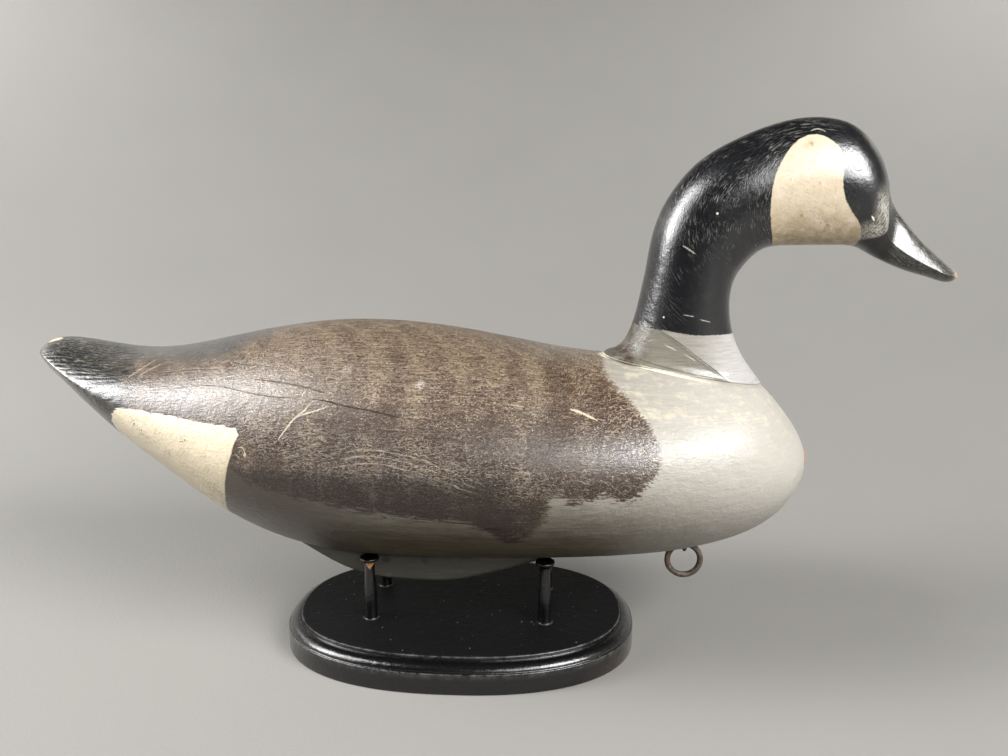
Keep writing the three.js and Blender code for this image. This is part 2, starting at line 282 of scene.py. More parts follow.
def newMaterial(name, look, fields=()):
    # The material, what adds nodes to it, places in millimetres, its colours, and the values that
    # it is painted by: the mesh's fields, x, y and z, the look's patterns and its shares.
    material = bpy.data.materials.new(name)
    material.use_nodes = True
    material.node_tree.nodes.clear()
    add = partial(addNode, material.node_tree)
    inMillimetres = (1 / metres,) * 3
    place = add("VectorMath", {0: add("TexCoord", out="Object"), 1: inMillimetres}, **times)
    inks = {key: colour(code) for key, code in look.items() if str(code).startswith("#")}
    at = {field: add("Attribute", out="Fac", attribute_name=field) for field in fields}
    shares = look.get("shares", {})
    if {row[0] for row in shares.values()} & {"x", "y", "z"}:
        at.update(zip("xyz", add("SeparateXYZ", {0: place}).node.outputs))
    # blots have a size in millimetres, a detail and a roughness
    for key, (size, detail, roughness) in look.get("blots", {}).items():
        at[key] = add("TexNoise", {"Vector": place, "Scale": 1 / size, "Detail": detail,
                                   "Roughness": roughness})
    for key, brush in look.get("brushes", {}).items():
        at[key] = brushed(add, place, **brush)
    # a share goes by another value: where that starts and ends, and how much there is at each end
    for key, (by, start, end, before, after, *kind) in shares.items():
        settings = kinds[kind[0] if kind else "even"]
        at[key] = add("MapRange", {0: at[by], **between(start, end, before, after)}, **settings)
    return material, add, place, inks, at


def brushed(add, place, width, reach, turn=0, across=None, detail=3, twist=0):
    # A pattern of strokes along x, or turned from it by some radians; sizes in millimetres.
    # Strokes that run level round a piece are as long across it, too.
    size = (reach, across or width, width)
    local = add("Mapping", {"Vector": place, "Rotation": (0, turn, 0), "Scale": size},
                vector_type="TEXTURE")
    return add("TexNoise", {"Vector": local, "Scale": 1, "Detail": detail,
                            "Roughness": strokeRoughness, "Distortion": twist})


def circling(add, place, centre, outward, around, across, radius=60):
    # a pattern round a point in side view, with its sizes along and across the rays
    local = add("VectorMath", {0: place, 1: tuple(-c for c in centre)}, **plus)
    x, y, z = add("SeparateXYZ", {0: local}).node.outputs
    angle = add("Math", {0: add("Math", {0: z, 1: x}, operation="ARCTAN2"), 1: radius / around}, **times)
    away = add("VectorMath", {0: add("CombineXYZ", {0: x, 2: z})}, out="Value", operation="LENGTH")
    away = add("Math", {0: away, 1: 1 / outward}, **times)
    y = add("Math", {0: y, 1: 1 / across}, **times)
    local = add("CombineXYZ", {0: away, 1: y, 2: angle})
    return add("TexNoise", {"Vector": local, **rayNoise})


def coated(add, paint, *coats):
    # coats of colour laid one over another, each with how much of it there is
    for amount, ink in coats:
        paint = add("Mix", {0: amount, 6: paint, 7: ink}, **ofColours)
    return paint


def heaped(add, total, *parts):
    # parts added to a total, each times its own amount
    for part, amount in parts:
        total = add("Math", {0: part, 1: amount, 2: total}, **timesPlus)
    return total


def joined(add, how, total, *others):
    # values joined one after another by the same sum
    for other in others:
        total = add("Math", {0: total, 1: other}, **how)
    return total


def strongest(add, marks, at):
    # how far a place is on any of some marks, whose edges wander
    onMarks = []
    for name, (_, _, strength) in marks.items():
        mark = add("Math", {0: at[name], 1: at["wander"]}, **plus)
        mark = add("Math", {0: mark}, **without)
        onMarks.append(add("MapRange", {0: mark, **between(*markEdge, strength, 0)}))
    return joined(add, larger, *onMarks)


def finishMaterial(add, paint, relief, shine, **sockets):
    # relief is a height in millimetres, and the varnish levels it by half
    bump = add("Bump", {"Strength": 1, "Distance": metres, "Height": relief})
    level = add("VectorMath", {0: bump, 1: add("NewGeometry", out="Normal")}, **plus)
    level = add("VectorMath", {0: level}, operation="NORMALIZE")
    inputs = {"Base Color": paint, "Roughness": shine, "Normal": bump, "Coat Normal": level}
    inputs.update({name.replace("_", " "): value for name, value in sockets.items()})
    add("OutputMaterial", {"Surface": add("BsdfPrincipled", inputs)})


# The goose's form, in the same numbers as the solid model's but for the bill, which is up to
# 3 units wider to each side and creased along its lower edge.
# A rib joins the upper outline to the lower one: x and z above, x and z below, half width,
# the widest line's share of the height, and how lean the section is above and below that line.
bodyRibs = [
    [-467, 231, -467, 231, 0, 0.6, -0.02, 0.06],
    [-463, 241, -464, 220, 22, 0.64, -0.02, 0.08],
    [-454, 245, -457, 209, 38, 0.68, -0.02, 0.1],
    [-434, 244, -438, 193, 57, 0.68, -0.02, 0.14],
    [-391, 236.5, -398, 160, 82, 0.65, 0, 0.18],
    [-350, 233.5, -356, 129, 98, 0.6, 0.04, 0.2],
    [-292, 240.5, -300, 84, 115, 0.55, 0.06, 0.24],
    [-222, 255, -233, 37.5, 134, 0.52, 0.06, 0.27],
    [-154, 265.5, -160, 10.6, 148, 0.51, 0.05, 0.29],
    [-79, 267, -82, 2.6, 158, 0.51, 0.03, 0.3],
    [24, 254.5, 24, 1.6, 162, 0.51, 0.02, 0.3],
    [110, 238.5, 118, 4.6, 159, 0.52, 0.02, 0.29],
    [181, 231, 190, 9.6, 150, 0.52, 0.02, 0.27],
    [258, 226, 255, 19, 133, 0.52, 0.02, 0.23],
    [314, 212, 306, 34.5, 110, 0.52, 0.02, 0.18],
    [350, 178, 344, 58, 78, 0.52, 0, 0.12],
    [370, 148, 367, 88, 43, 0.52, 0, 0.05],
    [377, 119, 377, 119, 0, 0.5, 0, 0],
]
neckRibs = [
    [132, 190, 352, 168, 56, 0.5, 0, 0],
    [153, 231, 329, 203, 48, 0.5, 0, 0],
    [176, 243, 309, 230, 45, 0.5, 0, 0],
    [188, 264, 297, 254, 43.5, 0.5, 0, 0],
    [196, 296, 291, 287, 43, 0.5, 0, 0],
    [202, 330, 294, 312, 43, 0.5, 0, 0],
    [210, 371, 305, 331, 44, 0.5, 0, 0],
    [228, 408, 320, 345, 45, 0.5, 0, 0],
    [254, 437, 337, 350, 45.5, 0.5, 0, 0],
    [293, 460, 355, 350.5, 46, 0.5, 0, 0],
    [333, 475, 375, 350.7, 46, 0.48, 0.02, -0.02],
    [372, 480, 394, 351, 45, 0.47, 0.04, -0.04],
    [404, 472.5, 408, 351, 43, 0.46, 0.06, -0.04],
    [426, 454, 419, 348, 39, 0.44, 0.08, -0.02],
    [440, 430, 427, 344, 34, 0.42, 0.1, 0],
    [448, 407, 434, 340, 29, 0.4, 0.1, 0.02],
    [453, 394, 440, 337, 23, 0.36, 0.06, 0.06],
    [467, 375, 456, 330, 21, 0.34, -0.25, 0.08],
    [484, 356, 476, 323, 19.5, 0.34, -0.3, 0.1],
    [503, 339, 498, 316.5, 17, 0.36, -0.2, 0.1],
    [518, 327, 517, 312.5, 12, 0.42, 0, 0.05],
    [525.5, 319, 525.5, 319, 0, 0.5, 0, 0],
]
seamBack = [149, 235]  # the glue line under the neck, x and z at its back and its front
seamFront = [329, 203]
keelOutline = [
    [-180, 12],
    [-137, -13],
    [-100, -25.5],
    [-60, -29.5],
    [-18, -30],
    [18, -24],
    [52, -14.5],
    [88, -3],
    [112, 8],
]
breastTip = 119  # height of the foremost point in the ribs' units


def boxOf(node):
    low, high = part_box(node)
    return np.array(low) / metres, np.array(high) / metres


# the length of a rib unit and the goose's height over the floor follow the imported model
ribUnit = (boxOf("head_and_neck")[1][0] - boxOf("body")[0][0]) / (neckRibs[-1][0] - bodyRibs[0][0])
plugLow, plugHigh = boxOf("breast_plug")
lift = (plugLow[2] + plugHigh[2]) / 2 - breastTip * ribUnit


def mirrored(rib):
    # a rib reflected in its own middle, which leads the spline smoothly through a closed end
    return [rib[2], rib[3], rib[0], rib[1], -rib[4], 1 - rib[5], rib[7], rib[6]]


def ribForm(ribs, startCloses, endCloses):
    # the form through a row of ribs, as a function of a share of the way along it
    head = [mirrored(ribs[2]), mirrored(ribs[1])] if startCloses else []
    tail = [mirrored(ribs[-2]), mirrored(ribs[-3])] if endCloses else []
    rows = np.array([*head, *ribs, *tail], float)
    steps = np.diff(rows, axis=0)
    outlines = (np.hypot(steps[:, 0], steps[:, 1]) + np.hypot(steps[:, 2], steps[:, 3])) / 2
    knots = np.concatenate([[0], np.cumsum(np.hypot(outlines, steps[:, 4]))])
    at = spline(knots, rows)
    start, end = knots[len(head)], knots[len(head) + len(ribs) - 1]
    return lambda t: at(start + (end - start) * t)


def sectionPoint(rib, turn, crease=0):
    # A point of a rib's section, from the goose's left over the top. A crease makes the widest
    # line sharp, as where the top of the tail meets its underside.
    rise = np.sin(turn)
    sharp = np.sign(rise) * rise * rise
    rise = rise + (sharp - rise) * crease
    lean = np.where(rise > 0, rib[..., 6], rib[..., 7])
    along = np.where(rise > 0, rib[..., 5] + (1 - rib[..., 5]) * rise, rib[..., 5] * (1 + rise))
    x = rib[..., 2] + (rib[..., 0] - rib[..., 2]) * along
    y = rib[..., 4] * np.cos(turn) * (1 - lean * rise * rise)
    z = rib[..., 3] + (rib[..., 1] - rib[..., 3]) * along
    return np.stack([x, y, z], -1) * ribUnit + np.array([0, 0, lift])


def seamHeight(x):
    slope = (seamFront[1] - seamBack[1]) / (seamFront[0] - seamBack[0])
    return lift + seamBack[1] * ribUnit + slope * (x - seamBack[0] * ribUnit)


# Where the paint changes, as outlines in side view: x and z in millimetres.
above, below = 320, 30  # past the form's top and bottom
brownFront = [(98, 214), (97, 206), (101, 200), (105, 197), (111, 192), (117, 186), (123, 179),
              (127, 171), (129, 162), (128, 155), (124, 150), (119, 145), (115, 139)]
brownNotch = [(108, 138), (98, 142), (88, 139), (79, 138), (71, 143), (64, 140), (61, 130),
              (56, 120), (51, 110), (45, 103)]
brownLow = [(38, 104), (32, 113), (16, 121), (-14, 124), (-51, 128), (-80, 132), (-102, 138),
            (-120, 142), (-131, 149)]
brownBack = [(-134, 158), (-132, 166), (-129, 174), (-150, 178), (-190, 182), (-214, 186)]
brownOutline = [(98, above), *brownFront, *brownNotch, *brownLow, *brownBack, (-216, above)]
rumpTop = [(-216, 182), (-210, 182.5), (-200, 182), (-185, 180.5), (-170, 179), (-150, 177), (-130, 175)]
rumpFront = [(-128, 172), (-131, 166), (-134, 157), (-137, 149), (-140, 140), (-144, 127),
             (-150, 114), (-156, 103)]
rumpOutline = [(-223, below), (-223, 172), (-220, 179), *rumpTop, *rumpFront, (-160, below)]
tailOutline = [(-400, below), (-400, above), (-236, above), (-228, 212), (-216, 200), (-208, 190),
               (-214, 183), (-222, 176), (-222, below)]
saddleOutline = [(-262, 218), (-254, 214), (-236, 210.5), (-206, 208.5), (-172, 209.5), (-153, 212),
                 (-142, 219), (-131, 226), (-120, 231), (-120, above), (-262, above)]

bodyLook = {
    "rings": 340,
    "sides": 280,
    "endSteps": 0.55,  # how much closer together the rings stand at both ends
    "tailCrease": 0.8,  # how sharply the top of the tail meets its underside
    "tailCreaseEnds": (-425, -330),  # x in the ribs' units
    "carving": 0.35,  # mm, how far the knife's long facets stand off the smooth form
    "carvingSize": 46,  # mm across
    "carvingStretch": [0.6, 1, 1],
    "fineCarving": 0.105,
    "fineCarvingSize": 46 / 3,
    "fineCarvingStretch": [0.5, 1, 1],
    "carvingFades": 0.02,  # the share of the way at both ends that is left smooth
    "ledgeRound": 0.25,  # mm, the worn edge of the flat under the neck
    "dent": (179, -78, 148),  # a small dent in the side of the breast
    "dentRadius": 4.5,
    "dentDepth": 0.7,
    "tailChip": (-288, -7, 218),  # bare wood where the end of the tail is knocked
    "tailChipRadius": 4.2,
    "tailChipStretch": [0.7, 0.8, 1],
    "tailChipRagged": 1.5,
    "tailChipRaggedSize": 5,
    "tailChipEdge": 3,
    "tailChipDepth": 0.8,
}
# each mark: its line in side view, its width in mm, and how strong it is
bodyCracks = {
    "crackTop": ([(-145, 211), (-128, 210), (-116, 210), (-105, 209), (-96, 207)], 0.5, 0.5),
    "crackBack": ([(-126, 203), (-106, 202), (-88, 200), (-73, 197)], 0.7, 0.65),
    "crackRear": ([(-160, 198), (-145, 198), (-129, 196), (-105, 194), (-90, 194)], 0.6, 0.5),
    "crackLong": ([(-84, 194), (-72, 193), (-61, 191), (-40, 188), (-30, 186), (-18, 184)], 0.8, 0.85),
    "crackTail": ([(-190, 203), (-165, 206), (-148, 207)], 0.6, 0.5),
    "crackShort": ([(-89, 184), (-79, 183), (-61, 181)], 0.6, 0.5),
}
bodyScratches = {
    "crossLong": ([(-102, 170), (-96, 178), (-92, 183), (-87, 187), (-82, 192)], 1.1, 0.75),
    "crossFlat": ([(-91, 184), (-85, 186), (-78, 188), (-69, 191)], 0.9, 0.7),
    "crossDown": ([(-85, 186), (-82, 180)], 0.8, 0.5),
    "crossBack": ([(-90, 194), (-87, 199)], 0.8, 0.4),
    "crossTop": ([(-84, 198), (-81, 202)], 0.8, 0.4),
    "crossSmall": ([(-86, 187), (-81, 193), (-77, 193)], 0.8, 0.4),
    "sideGouge": ([(75, 189), (85, 186), (94, 182)], 1.5, 1.0),
    "sideDash": ([(38, 192), (50, 190)], 0.9, 0.4),
    "breastScratch": ([(148, 191), (149, 182)], 0.6, 0.5),
    "breastNick": ([(196, 135), (199, 139)], 0.9, 0.6),
    "tailBrushOne": ([(-215, 199), (-209, 204), (-203, 209)], 1.3, 0.4),
    "tailBrushTwo": ([(-208, 200), (-202, 204), (-196, 207)], 1.1, 0.35),
}
arcLine = [(-72, 158), (-59, 161), (-46, 163), (-31, 162), (-16, 159), (-1, 154), (11, 149.5), (26, 144)]
chalkSpots = [(-63, 209, 5), (-16, 202, 4)]
palePatches = [(9, 217, 12), (28, 207, 13), (-81, 171, 12), (-45, 205, 10), (2, 150, 8), (-118, 222, 9)]
darkPatches = [(-57, 184, 11), (-38, 182, 12), (70, 205, 13), (92, 190, 12), (-108, 145, 12),
               (-57, 138, 14), (35, 122, 12), (53, 130, 12), (-116, 192, 10)]
knotSpot = (-126, -88, 161)
rumpSpecks = [(-203, 174, 5), (-198, 168, 3.5), (-167, 166, 4.5), (-152, 134, 6), (-148, 128, 5)]
bodyForm = ribForm(bodyRibs, True, True)


def easedSteps(count, ease):
    # from 0 to 1, closer together at both ends
    even = np.linspace(0, 1, count + 1)
    return even + ((1 - np.cos(math.pi * even)) / 2 - even) * ease


def makeBody():
    look = bodyLook
    t = easedSteps(look["rings"], look["endSteps"])[:, None]
    turn = (np.arange(look["sides"]) * 2 * math.pi / look["sides"] - math.pi / 2)[None, :]
    ribs = bodyForm(t) * np.ones((1, look["sides"], 1))
    ribs[0, :, 4] = 0
    ribs[-1, :, 4] = 0
    creaseEnds = [x * ribUnit for x in look["tailCreaseEnds"]]
    crease = look["tailCrease"] * (1 - smoothStep(*creaseEnds, ribs[..., 0] * ribUnit))
    points = sectionPoint(ribs, turn + 0 * t, crease)
    normals = gridNormals(points)

    relief = look["carving"] * softNoise(points * look["carvingStretch"], look["carvingSize"], 1)
    fine = softNoise(points * look["fineCarvingStretch"], look["fineCarvingSize"], 2)
    relief += look["fineCarving"] * fine
    dent = np.linalg.norm(points - look["dent"], axis=-1) / look["dentRadius"]
    relief -= look["dentDepth"] * np.exp(-dent * dent)
    chipAway = np.linalg.norm((points - look["tailChip"]) * look["tailChipStretch"], axis=-1)
    ragged = look["tailChipRagged"] * softNoise(points, look["tailChipRaggedSize"], 3)
    chip = look["tailChipRadius"] - chipAway - ragged
    relief -= look["tailChipDepth"] * smoothStep(0, look["tailChipEdge"], chip)
    ends = np.linspace(0, 1, look["rings"] + 1)[:, None]
    relief *= smoothStep(0, look["carvingFades"], np.minimum(ends, 1 - ends))
    points = points + normals * relief[..., None]

    # the neck's flat is cut into the shoulder, with a worn edge
    x, y, z = points[..., 0], points[..., 1], points[..., 2]
    flat = seamHeight(x) - glueGap
    overFlat = z - flat
    soft = look["ledgeRound"] ** 2
    z = flat + 0.5 * (overFlat - np.sqrt(overFlat * overFlat + soft))
    points = np.stack([x, y, z], -1)

    away, side, along, length = besideLine(x, z, throughPoints(arcLine))
    pale, darker = (np.maximum(spotField(points, patches), 0) for patches in (palePatches, darkPatches))
    fields = {
        "ledge": overFlat,
        "chip": chip,
        "arc": np.where(y < 0, side * away, farAway),
        "arcAlong": along / length,
        "chalk": spotField(points, chalkSpots),
        "patch": pale - darker,
        "speck": spotField(points, rumpSpecks),
        "brownEdge": insideOutline(x, z, brownOutline),
        "rumpEdge": insideOutline(x, z, rumpOutline),
        "tailEdge": insideOutline(x, z, tailOutline),
        "saddleEdge": insideOutline(x, z, saddleOutline),
    }
    for name, (line, width, _) in {**bodyCracks, **bodyScratches}.items():
        fields[name] = markField(points, line, width)
    return makeForm("painted_body", points, fields), points, tuple(fields)


bodyPaint = {
    "greyLight": "#8C8881",
    "greyMiddle": "#767166",
    # the low and rear greys are partly a darker paint and partly painted shade under the body
    "greyLowAndShade": "#544E40",
    "greyRearAndShade": "#3B3328",
    "breastCream": "#A4A098",
    "wornYellow": "#BFB49A",
    "brownDark": "#33241B",
    "brownMiddle": "#4A3626",
    # the brown of the painted shade lower down the sides
    "brownLow": "#21140C",
    "combed": "#715E4A",
    "combedPale": "#9F917A",
    "chalkWhite": "#C2BCB1",
    "cream": "#CEC2AA",
    "creamDirt": "#98855F",
    "black": "#0D0D0F",
    "tailDustAndSheen": "#A7A08D",
    "saddleGrey": "#383837",
    "bareWood": "#CDBB9B",
    "wornEdgeAndHighlight": "#EBE2CD",
    "crack": "#130E0B",
    "scratch": "#BAAB90",
    "blots": {"patches": (45, 4, 0.6), "mottle": (9, 4, 0.7), "speckle": (1.3, 2, 0.7)},
    # strokes in mm, drawn about twice as coarse as real bristle marks so that they show
    "brushes": {
        "bristles": {"width": 1.1, "reach": 26},
        "bands": {"width": 4.5, "reach": 60},
        "dryBrush": {"width": 1.7, "reach": 15},
        "level": {"width": 1.3, "reach": 18, "across": 14},
        "curls": {"width": 1.35, "reach": 3.2, "detail": 1.5, "twist": 0.9},
        "fineBristles": {"width": 0.9, "reach": 13},
        "dusting": {"width": 0.9, "reach": 6},
        "slanted": {"width": 1.1, "reach": 14, "turn": -0.9},
    },
    "shares": {
        # the grey sides, with painted shade on the shoulder and low down
        "ahead": ("x", 120, 185, 0, 1, "soft"),
        "toBreast": ("x", 60, 205, 0, 0.8, "soft"),
        # painted shade on top of the shoulder
        "paintedShadeOnShoulder": ("z", 186, 220, 0, 0.32, "soft"),
        "darkPaintAndShadeLow": ("z", 158, 100, 0, 1, "soft"),
        "lowBehind": ("x", 70, 215, 1, 0.25, "soft"),
        "behind": ("x", -20, -110, 0, 0.9, "soft"),
        "yellowed": ("mottle", 0.47, 0.66, 0, 0.45, "soft"),
        "yellowHigh": ("z", 150, 180, 0.1, 1),
        "yellowAhead": ("x", 60, 110, 0, 1),
        # the brown back, with painted shade lower down its sides
        "rayed": ("x", 40, 75, 0, 1, "soft"),
        "barred": ("z", 188, 204, 0.04, 0.2),
        # painted shade lower down the brown sides, and in a band low on them
        "paintedShadeLower": ("z", 200, 165, 0, 1, "soft"),
        "paintedShadeBandLow": ("z", 156, 144, 0, 1, "soft"),
        "paintedShadeBandBehind": ("x", 10, 60, 1, 0.25, "soft"),
        "smoothRear": ("x", -110, -180, 0, 0.03),
        "chalkGrain": ("speckle", 0.42, 0.56, 0.25, 1),
        "streaked": ("bristles", 0.42, 0.58, 0.35, 1),
        "fineStreaks": ("fineBristles", 0.5, 0.64, 0, 1),
        "fineHigh": ("z", 185, 205, 0.15, 0.55),
        "fringe": ("z", 140, 165, 20, 4),
        # the tail and the rump
        "dry": ("dryBrush", 0.3, 0.7, -1, 1, "open"),
        "tailFringe": ("z", 178, 190, 0.5, 22),
        "rumpFringe": ("z", 168, 178, 0.25, 0.9),
        # pale lines along the tail: partly dust, partly a painted highlight
        "dustAndSheen": ("dusting", 0.52, 0.64, 0, 0.6),
        "dustRear": ("x", -195, -250, 0, 1),
        "dustPatches": ("mottle", 0.42, 0.6, 0.1, 1),
        "dirt": ("mottle", 0.45, 0.75, 0, 0.7, "soft"),
        "dirtLow": ("z", 175, 110, 0.15, 0.9),
        "dirtStrokes": ("slanted", 0.35, 0.65, 0, 0.7),
        "speckPlaces": ("speck", 0, 0.5, 0, 1),
        "speckGrain": ("speckle", 0.57, 0.62, 0, 0.9),
        # wear; the pale line along the ledge is partly wear, partly a painted highlight
        "wander": ("speckle", 0.3, 0.7, -0.6, 0.6, "open"),
        "ledgeWearAndHighlight": ("ledge", -1.0, -0.5, 0, 1, "soft"),
        "ledgePatches": ("mottle", 0.36, 0.48, 0.5, 1),
        "ledgeStart": ("x", 84, 90, 0, 1),
        "ledgeEnd": ("x", 140, 175, 1, 0),
        "chipped": ("chip", 0, 0.8, 0, 0.9),
        "arcStart": ("arcAlong", 0, 0.15, 0, 1),
        "arcEnd": ("arcAlong", 0.88, 1, 1, 0),
        "arcBroken": ("dryBrush", 0.38, 0.52, 0.1, 1),
        "knotBroken": ("mottle", 0.42, 0.52, 0.1, 1),
        # relief in mm, and the varnish, which is well kept on the tail and worn on the breast
        "combDepth": ("x", -60, -130, 0.24, 0.08, "soft"),
        "grooveDepth": ("x", -205, -250, 0, 0.13, "soft"),
        "kept": ("x", -40, -160, 0, 1, "soft"),
        "shine": ("patches", 0.3, 0.7, 0.42, 0.52),
        "coatLow": ("z", 168, 140, 1, 0.35, "soft"),
        "coatHigh": ("z", 210, 228, 1, 0.3, "soft"),
    },
    "bandShare": 0.45,  # of the grey's tone, and the bristles give the rest
    "tone": (0.4, 0.6, 0, 1),
    "yellowTone": (0.2, 0.8, 0.4, 1),
    "rays": {"centre": (38, 0, 172), "outward": 3.4, "around": 1.15, "across": 4},
    "barSpacing": 26,  # mm, the paler bars across the back
    "barStart": -44,  # x of one bar in mm
    "barMiddle": 75,  # mm from the middle line, where a bar stops bending forward
    "barBend": 0.00875,  # mm forward for each square millimetre inward
    "barWander": 18,  # mm
    "barSharpness": 3,
    "barStretch": (1, 0.25, 0.25),  # the bars are four times as long as they are wide
    "barNoise": {"Detail": 2, "Roughness": 0.5, "Distortion": 0.5},
    "barMottle": 0.4,
    "barPatches": 0.22,
    # how wide the pale strokes are drawn: by the bars, less in the painted shade or where it is smooth
    "strokeReach": (0.4, 0.68, 0.03, 0.1),
    "strokeInPaintedShadeBand": -0.03,
    "strokeInPaintedShadeLower": -0.008,
    "strokeLeast": 0.012,
    "strokeEdge": (0.3, 1.1, 1, 0),
    # how dark the painted shade lower down the brown sides is, and the band low on them
    "paintedShadeLowerDark": 0.6,
    "paintedShadeBandDark": 0.9,
    "chalked": (1.05, 1.6, 0, 0.7),
    "chalkAmount": 0.6,
    "shadedAmount": (0, 1.5, 1, 0.4),
    # where each paint ends, in mm from its outline
    "combFringe": -18,
    "brownEdge": (-4, -2.2, 0, 1),
    "saddleFringe": 5,
    "saddleEdge": (-4, 4, 0, 0.85),
    "tailEdge": (-5, 7, 0, 1),
    "rumpEdge": (-0.4, 0.4, 0, 1),
    "groovePitch": 3.4,  # mm, the rasped lines on the tail
    "grooveWander": 5,
    "arcPitch": 3.9,  # mm, between the scratches of the bundle
    "arcWander": 5,
    "arcWidth": (4.5, 8.5, 1, 0),
    "arcLine": (0.08, 0.4, 0.5, 0),
    "knotRadius": 8.2,  # mm
    "knotWave": 2.6,  # radians of the swirl a millimetre
    "knotWander": 9,
    "knotLine": (0, 0.7, 0, 0.8),
    # relief in mm
    "heights": {"bristles": 0.32, "mottle": 0.9, "rumpStrokes": 0.4, "crack": -0.8, "scratch": -0.2},
    "speckleHeight": 0.2,
    "keptShine": -0.18,  # roughness taken away where the varnish is well kept
    "leastCoat": 0.3,
    "brownCoat": 0.85,
}


def greySides(add, look, inks, at):
    # grey sides, pale on the breast, with painted shade on the shoulder, and dark and olive low down and
    # behind: partly a darker paint, partly painted shade
    tone = add("Math", {0: at["bands"], 1: look["bandShare"]}, **times)
    tone = heaped(add, tone, (at["bristles"], 1 - look["bandShare"]))
    tone = add("Mix", {0: at["ahead"], 2: tone, 3: at["level"]})
    tone = add("MapRange", {0: tone, **between(*look["tone"])})
    # darker low down and behind: partly a darker paint, partly painted shade
    darkPaintAndShadeLow = add("Math", {0: at["darkPaintAndShadeLow"], 1: at["lowBehind"]}, **times)
    lowPaintAndShadeTone = coated(add, inks["greyRearAndShade"], (tone, inks["greyLowAndShade"]))
    onTone = add("MapRange", {0: tone, **between(*look["yellowTone"])})
    yellow = joined(add, times, at["yellowed"], onTone, at["yellowHigh"], at["yellowAhead"])
    return coated(add, inks["greyMiddle"], (tone, inks["greyLight"]),
                  (at["toBreast"], inks["breastCream"]), (at["paintedShadeOnShoulder"], inks["greyMiddle"]),
                  (darkPaintAndShadeLow, lowPaintAndShadeTone), (at["behind"], inks["greyRearAndShade"]), (yellow, inks["wornYellow"]))


def featherBars(add, place, look, at):
    # soft paler and darker bars lie across the back, bent like the edges of feathers
    inward = add("Math", {0: add("Math", {0: at["y"]}, **without), 1: -1, 2: look["barMiddle"]}, **timesPlus)
    inward = add("Math", {0: inward, 1: 0}, **larger)
    bent = add("Math", {0: inward, 1: inward}, **times)
    wander = add("Math", {0: at["mottle"], 1: -noiseMiddle}, **plus)
    bent = heaped(add, at["x"], (bent, look["barBend"]), (wander, look["barWander"]))
    bent = add("Math", {0: bent, 1: -look["barStart"]}, **plus)
    wave = add("Math", {0: bent, 1: 2 * math.pi / look["barSpacing"]}, **times)
    wave = add("Math", {0: wave}, operation="COSINE")
    wave = add("Math", {0: wave, 1: 0.5, 2: 0.5}, **timesPlus)
    wave = add("Math", {0: wave, 1: look["barSharpness"]}, operation="POWER")
    drawnOut = add("VectorMath", {0: place, 1: look["barStretch"]}, **times)
    bars = add("TexNoise", {"Vector": drawnOut, "Scale": 1 / look["barSpacing"], **look["barNoise"]})
    mottled = add("Math", {0: at["mottle"], 1: look["barMottle"]}, **times)
    return heaped(add, mottled, (bars, 1 - look["barMottle"]), (wave, at["barred"]),
                  (at["patch"], look["barPatches"]))


def combedBack(add, place, look, inks, at):
    # the brown back: curling strokes combed through wet paint, which stand out from the edge in front
    rays = circling(add, place, **look["rays"])
    comb = add("Mix", {0: at["rayed"], 2: at["curls"], 3: rays})
    comb = add("Math", {0: add("Math", {0: comb, 1: -noiseMiddle}, **plus)}, **without)
    bars = featherBars(add, place, look, at)
    # a band of painted shade low on the brown side
    paintedShadeBand = add("Math", {0: at["paintedShadeBandLow"], 1: at["paintedShadeBandBehind"]}, **times)
    reach = add("MapRange", {0: bars, **between(*look["strokeReach"])})
    reach = heaped(add, reach, (paintedShadeBand, look["strokeInPaintedShadeBand"]), (at["paintedShadeLower"], look["strokeInPaintedShadeLower"]))
    reach = add("Math", {0: reach, 1: at["smoothRear"]}, **minus)
    reach = add("Math", {0: reach, 1: look["strokeLeast"]}, **larger)
    stroke = add("Math", {0: comb, 1: reach}, operation="DIVIDE")
    stroke = add("MapRange", {0: stroke, **between(*look["strokeEdge"])}, **eased)

    # painted shade darkens the brown lower down its sides, with fewer pale strokes in it
    paintedShade = add("Math", {0: at["paintedShadeLower"], 1: look["paintedShadeLowerDark"]}, **times)
    paintedShade = heaped(add, paintedShade, (paintedShadeBand, look["paintedShadeBandDark"]))
    dark = coated(add, inks["brownDark"], (bars, inks["brownMiddle"]), (paintedShade, inks["brownLow"]))
    patchy = add("Math", {0: at["mottle"], 1: at["dryBrush"]}, **plus)
    chalk = add("Math", {0: at["chalk"], 1: patchy}, **plus)
    chalk = add("MapRange", {0: chalk, **between(*look["chalked"])}, **eased)
    chalk = add("Math", {0: chalk, 1: at["chalkGrain"]}, **times)
    pale = coated(add, inks["combed"], (at["speckle"], inks["combedPale"]), (chalk, inks["chalkWhite"]))
    strokes = add("Math", {0: stroke, 1: at["streaked"]}, **times)
    streaks = add("Math", {0: at["fineStreaks"], 1: at["fineHigh"]}, **times)
    chalky = add("Math", {0: chalk, 1: look["chalkAmount"]}, **times)
    amount = joined(add, larger, strokes, streaks, chalky)
    fewerInPaintedShade = add("MapRange", {0: paintedShade, **between(*look["shadedAmount"])})
    amount = add("Math", {0: amount, 1: fewerInPaintedShade}, **times)
    return coated(add, dark, (amount, pale)), comb, stroke


def creamRump(add, inks, at):
    # cream with dirt in its slanting strokes and dark specks
    dirt = add("Math", {0: at["dirt"], 1: at["dirtLow"]}, **plus)
    dirt = add("Math", {0: dirt, 1: at["dirtStrokes"]}, **times)
    specks = add("Math", {0: at["speckPlaces"], 1: at["speckGrain"]}, **times)
    return coated(add, inks["cream"], (dirt, inks["creamDirt"]), (specks, inks["crack"]))


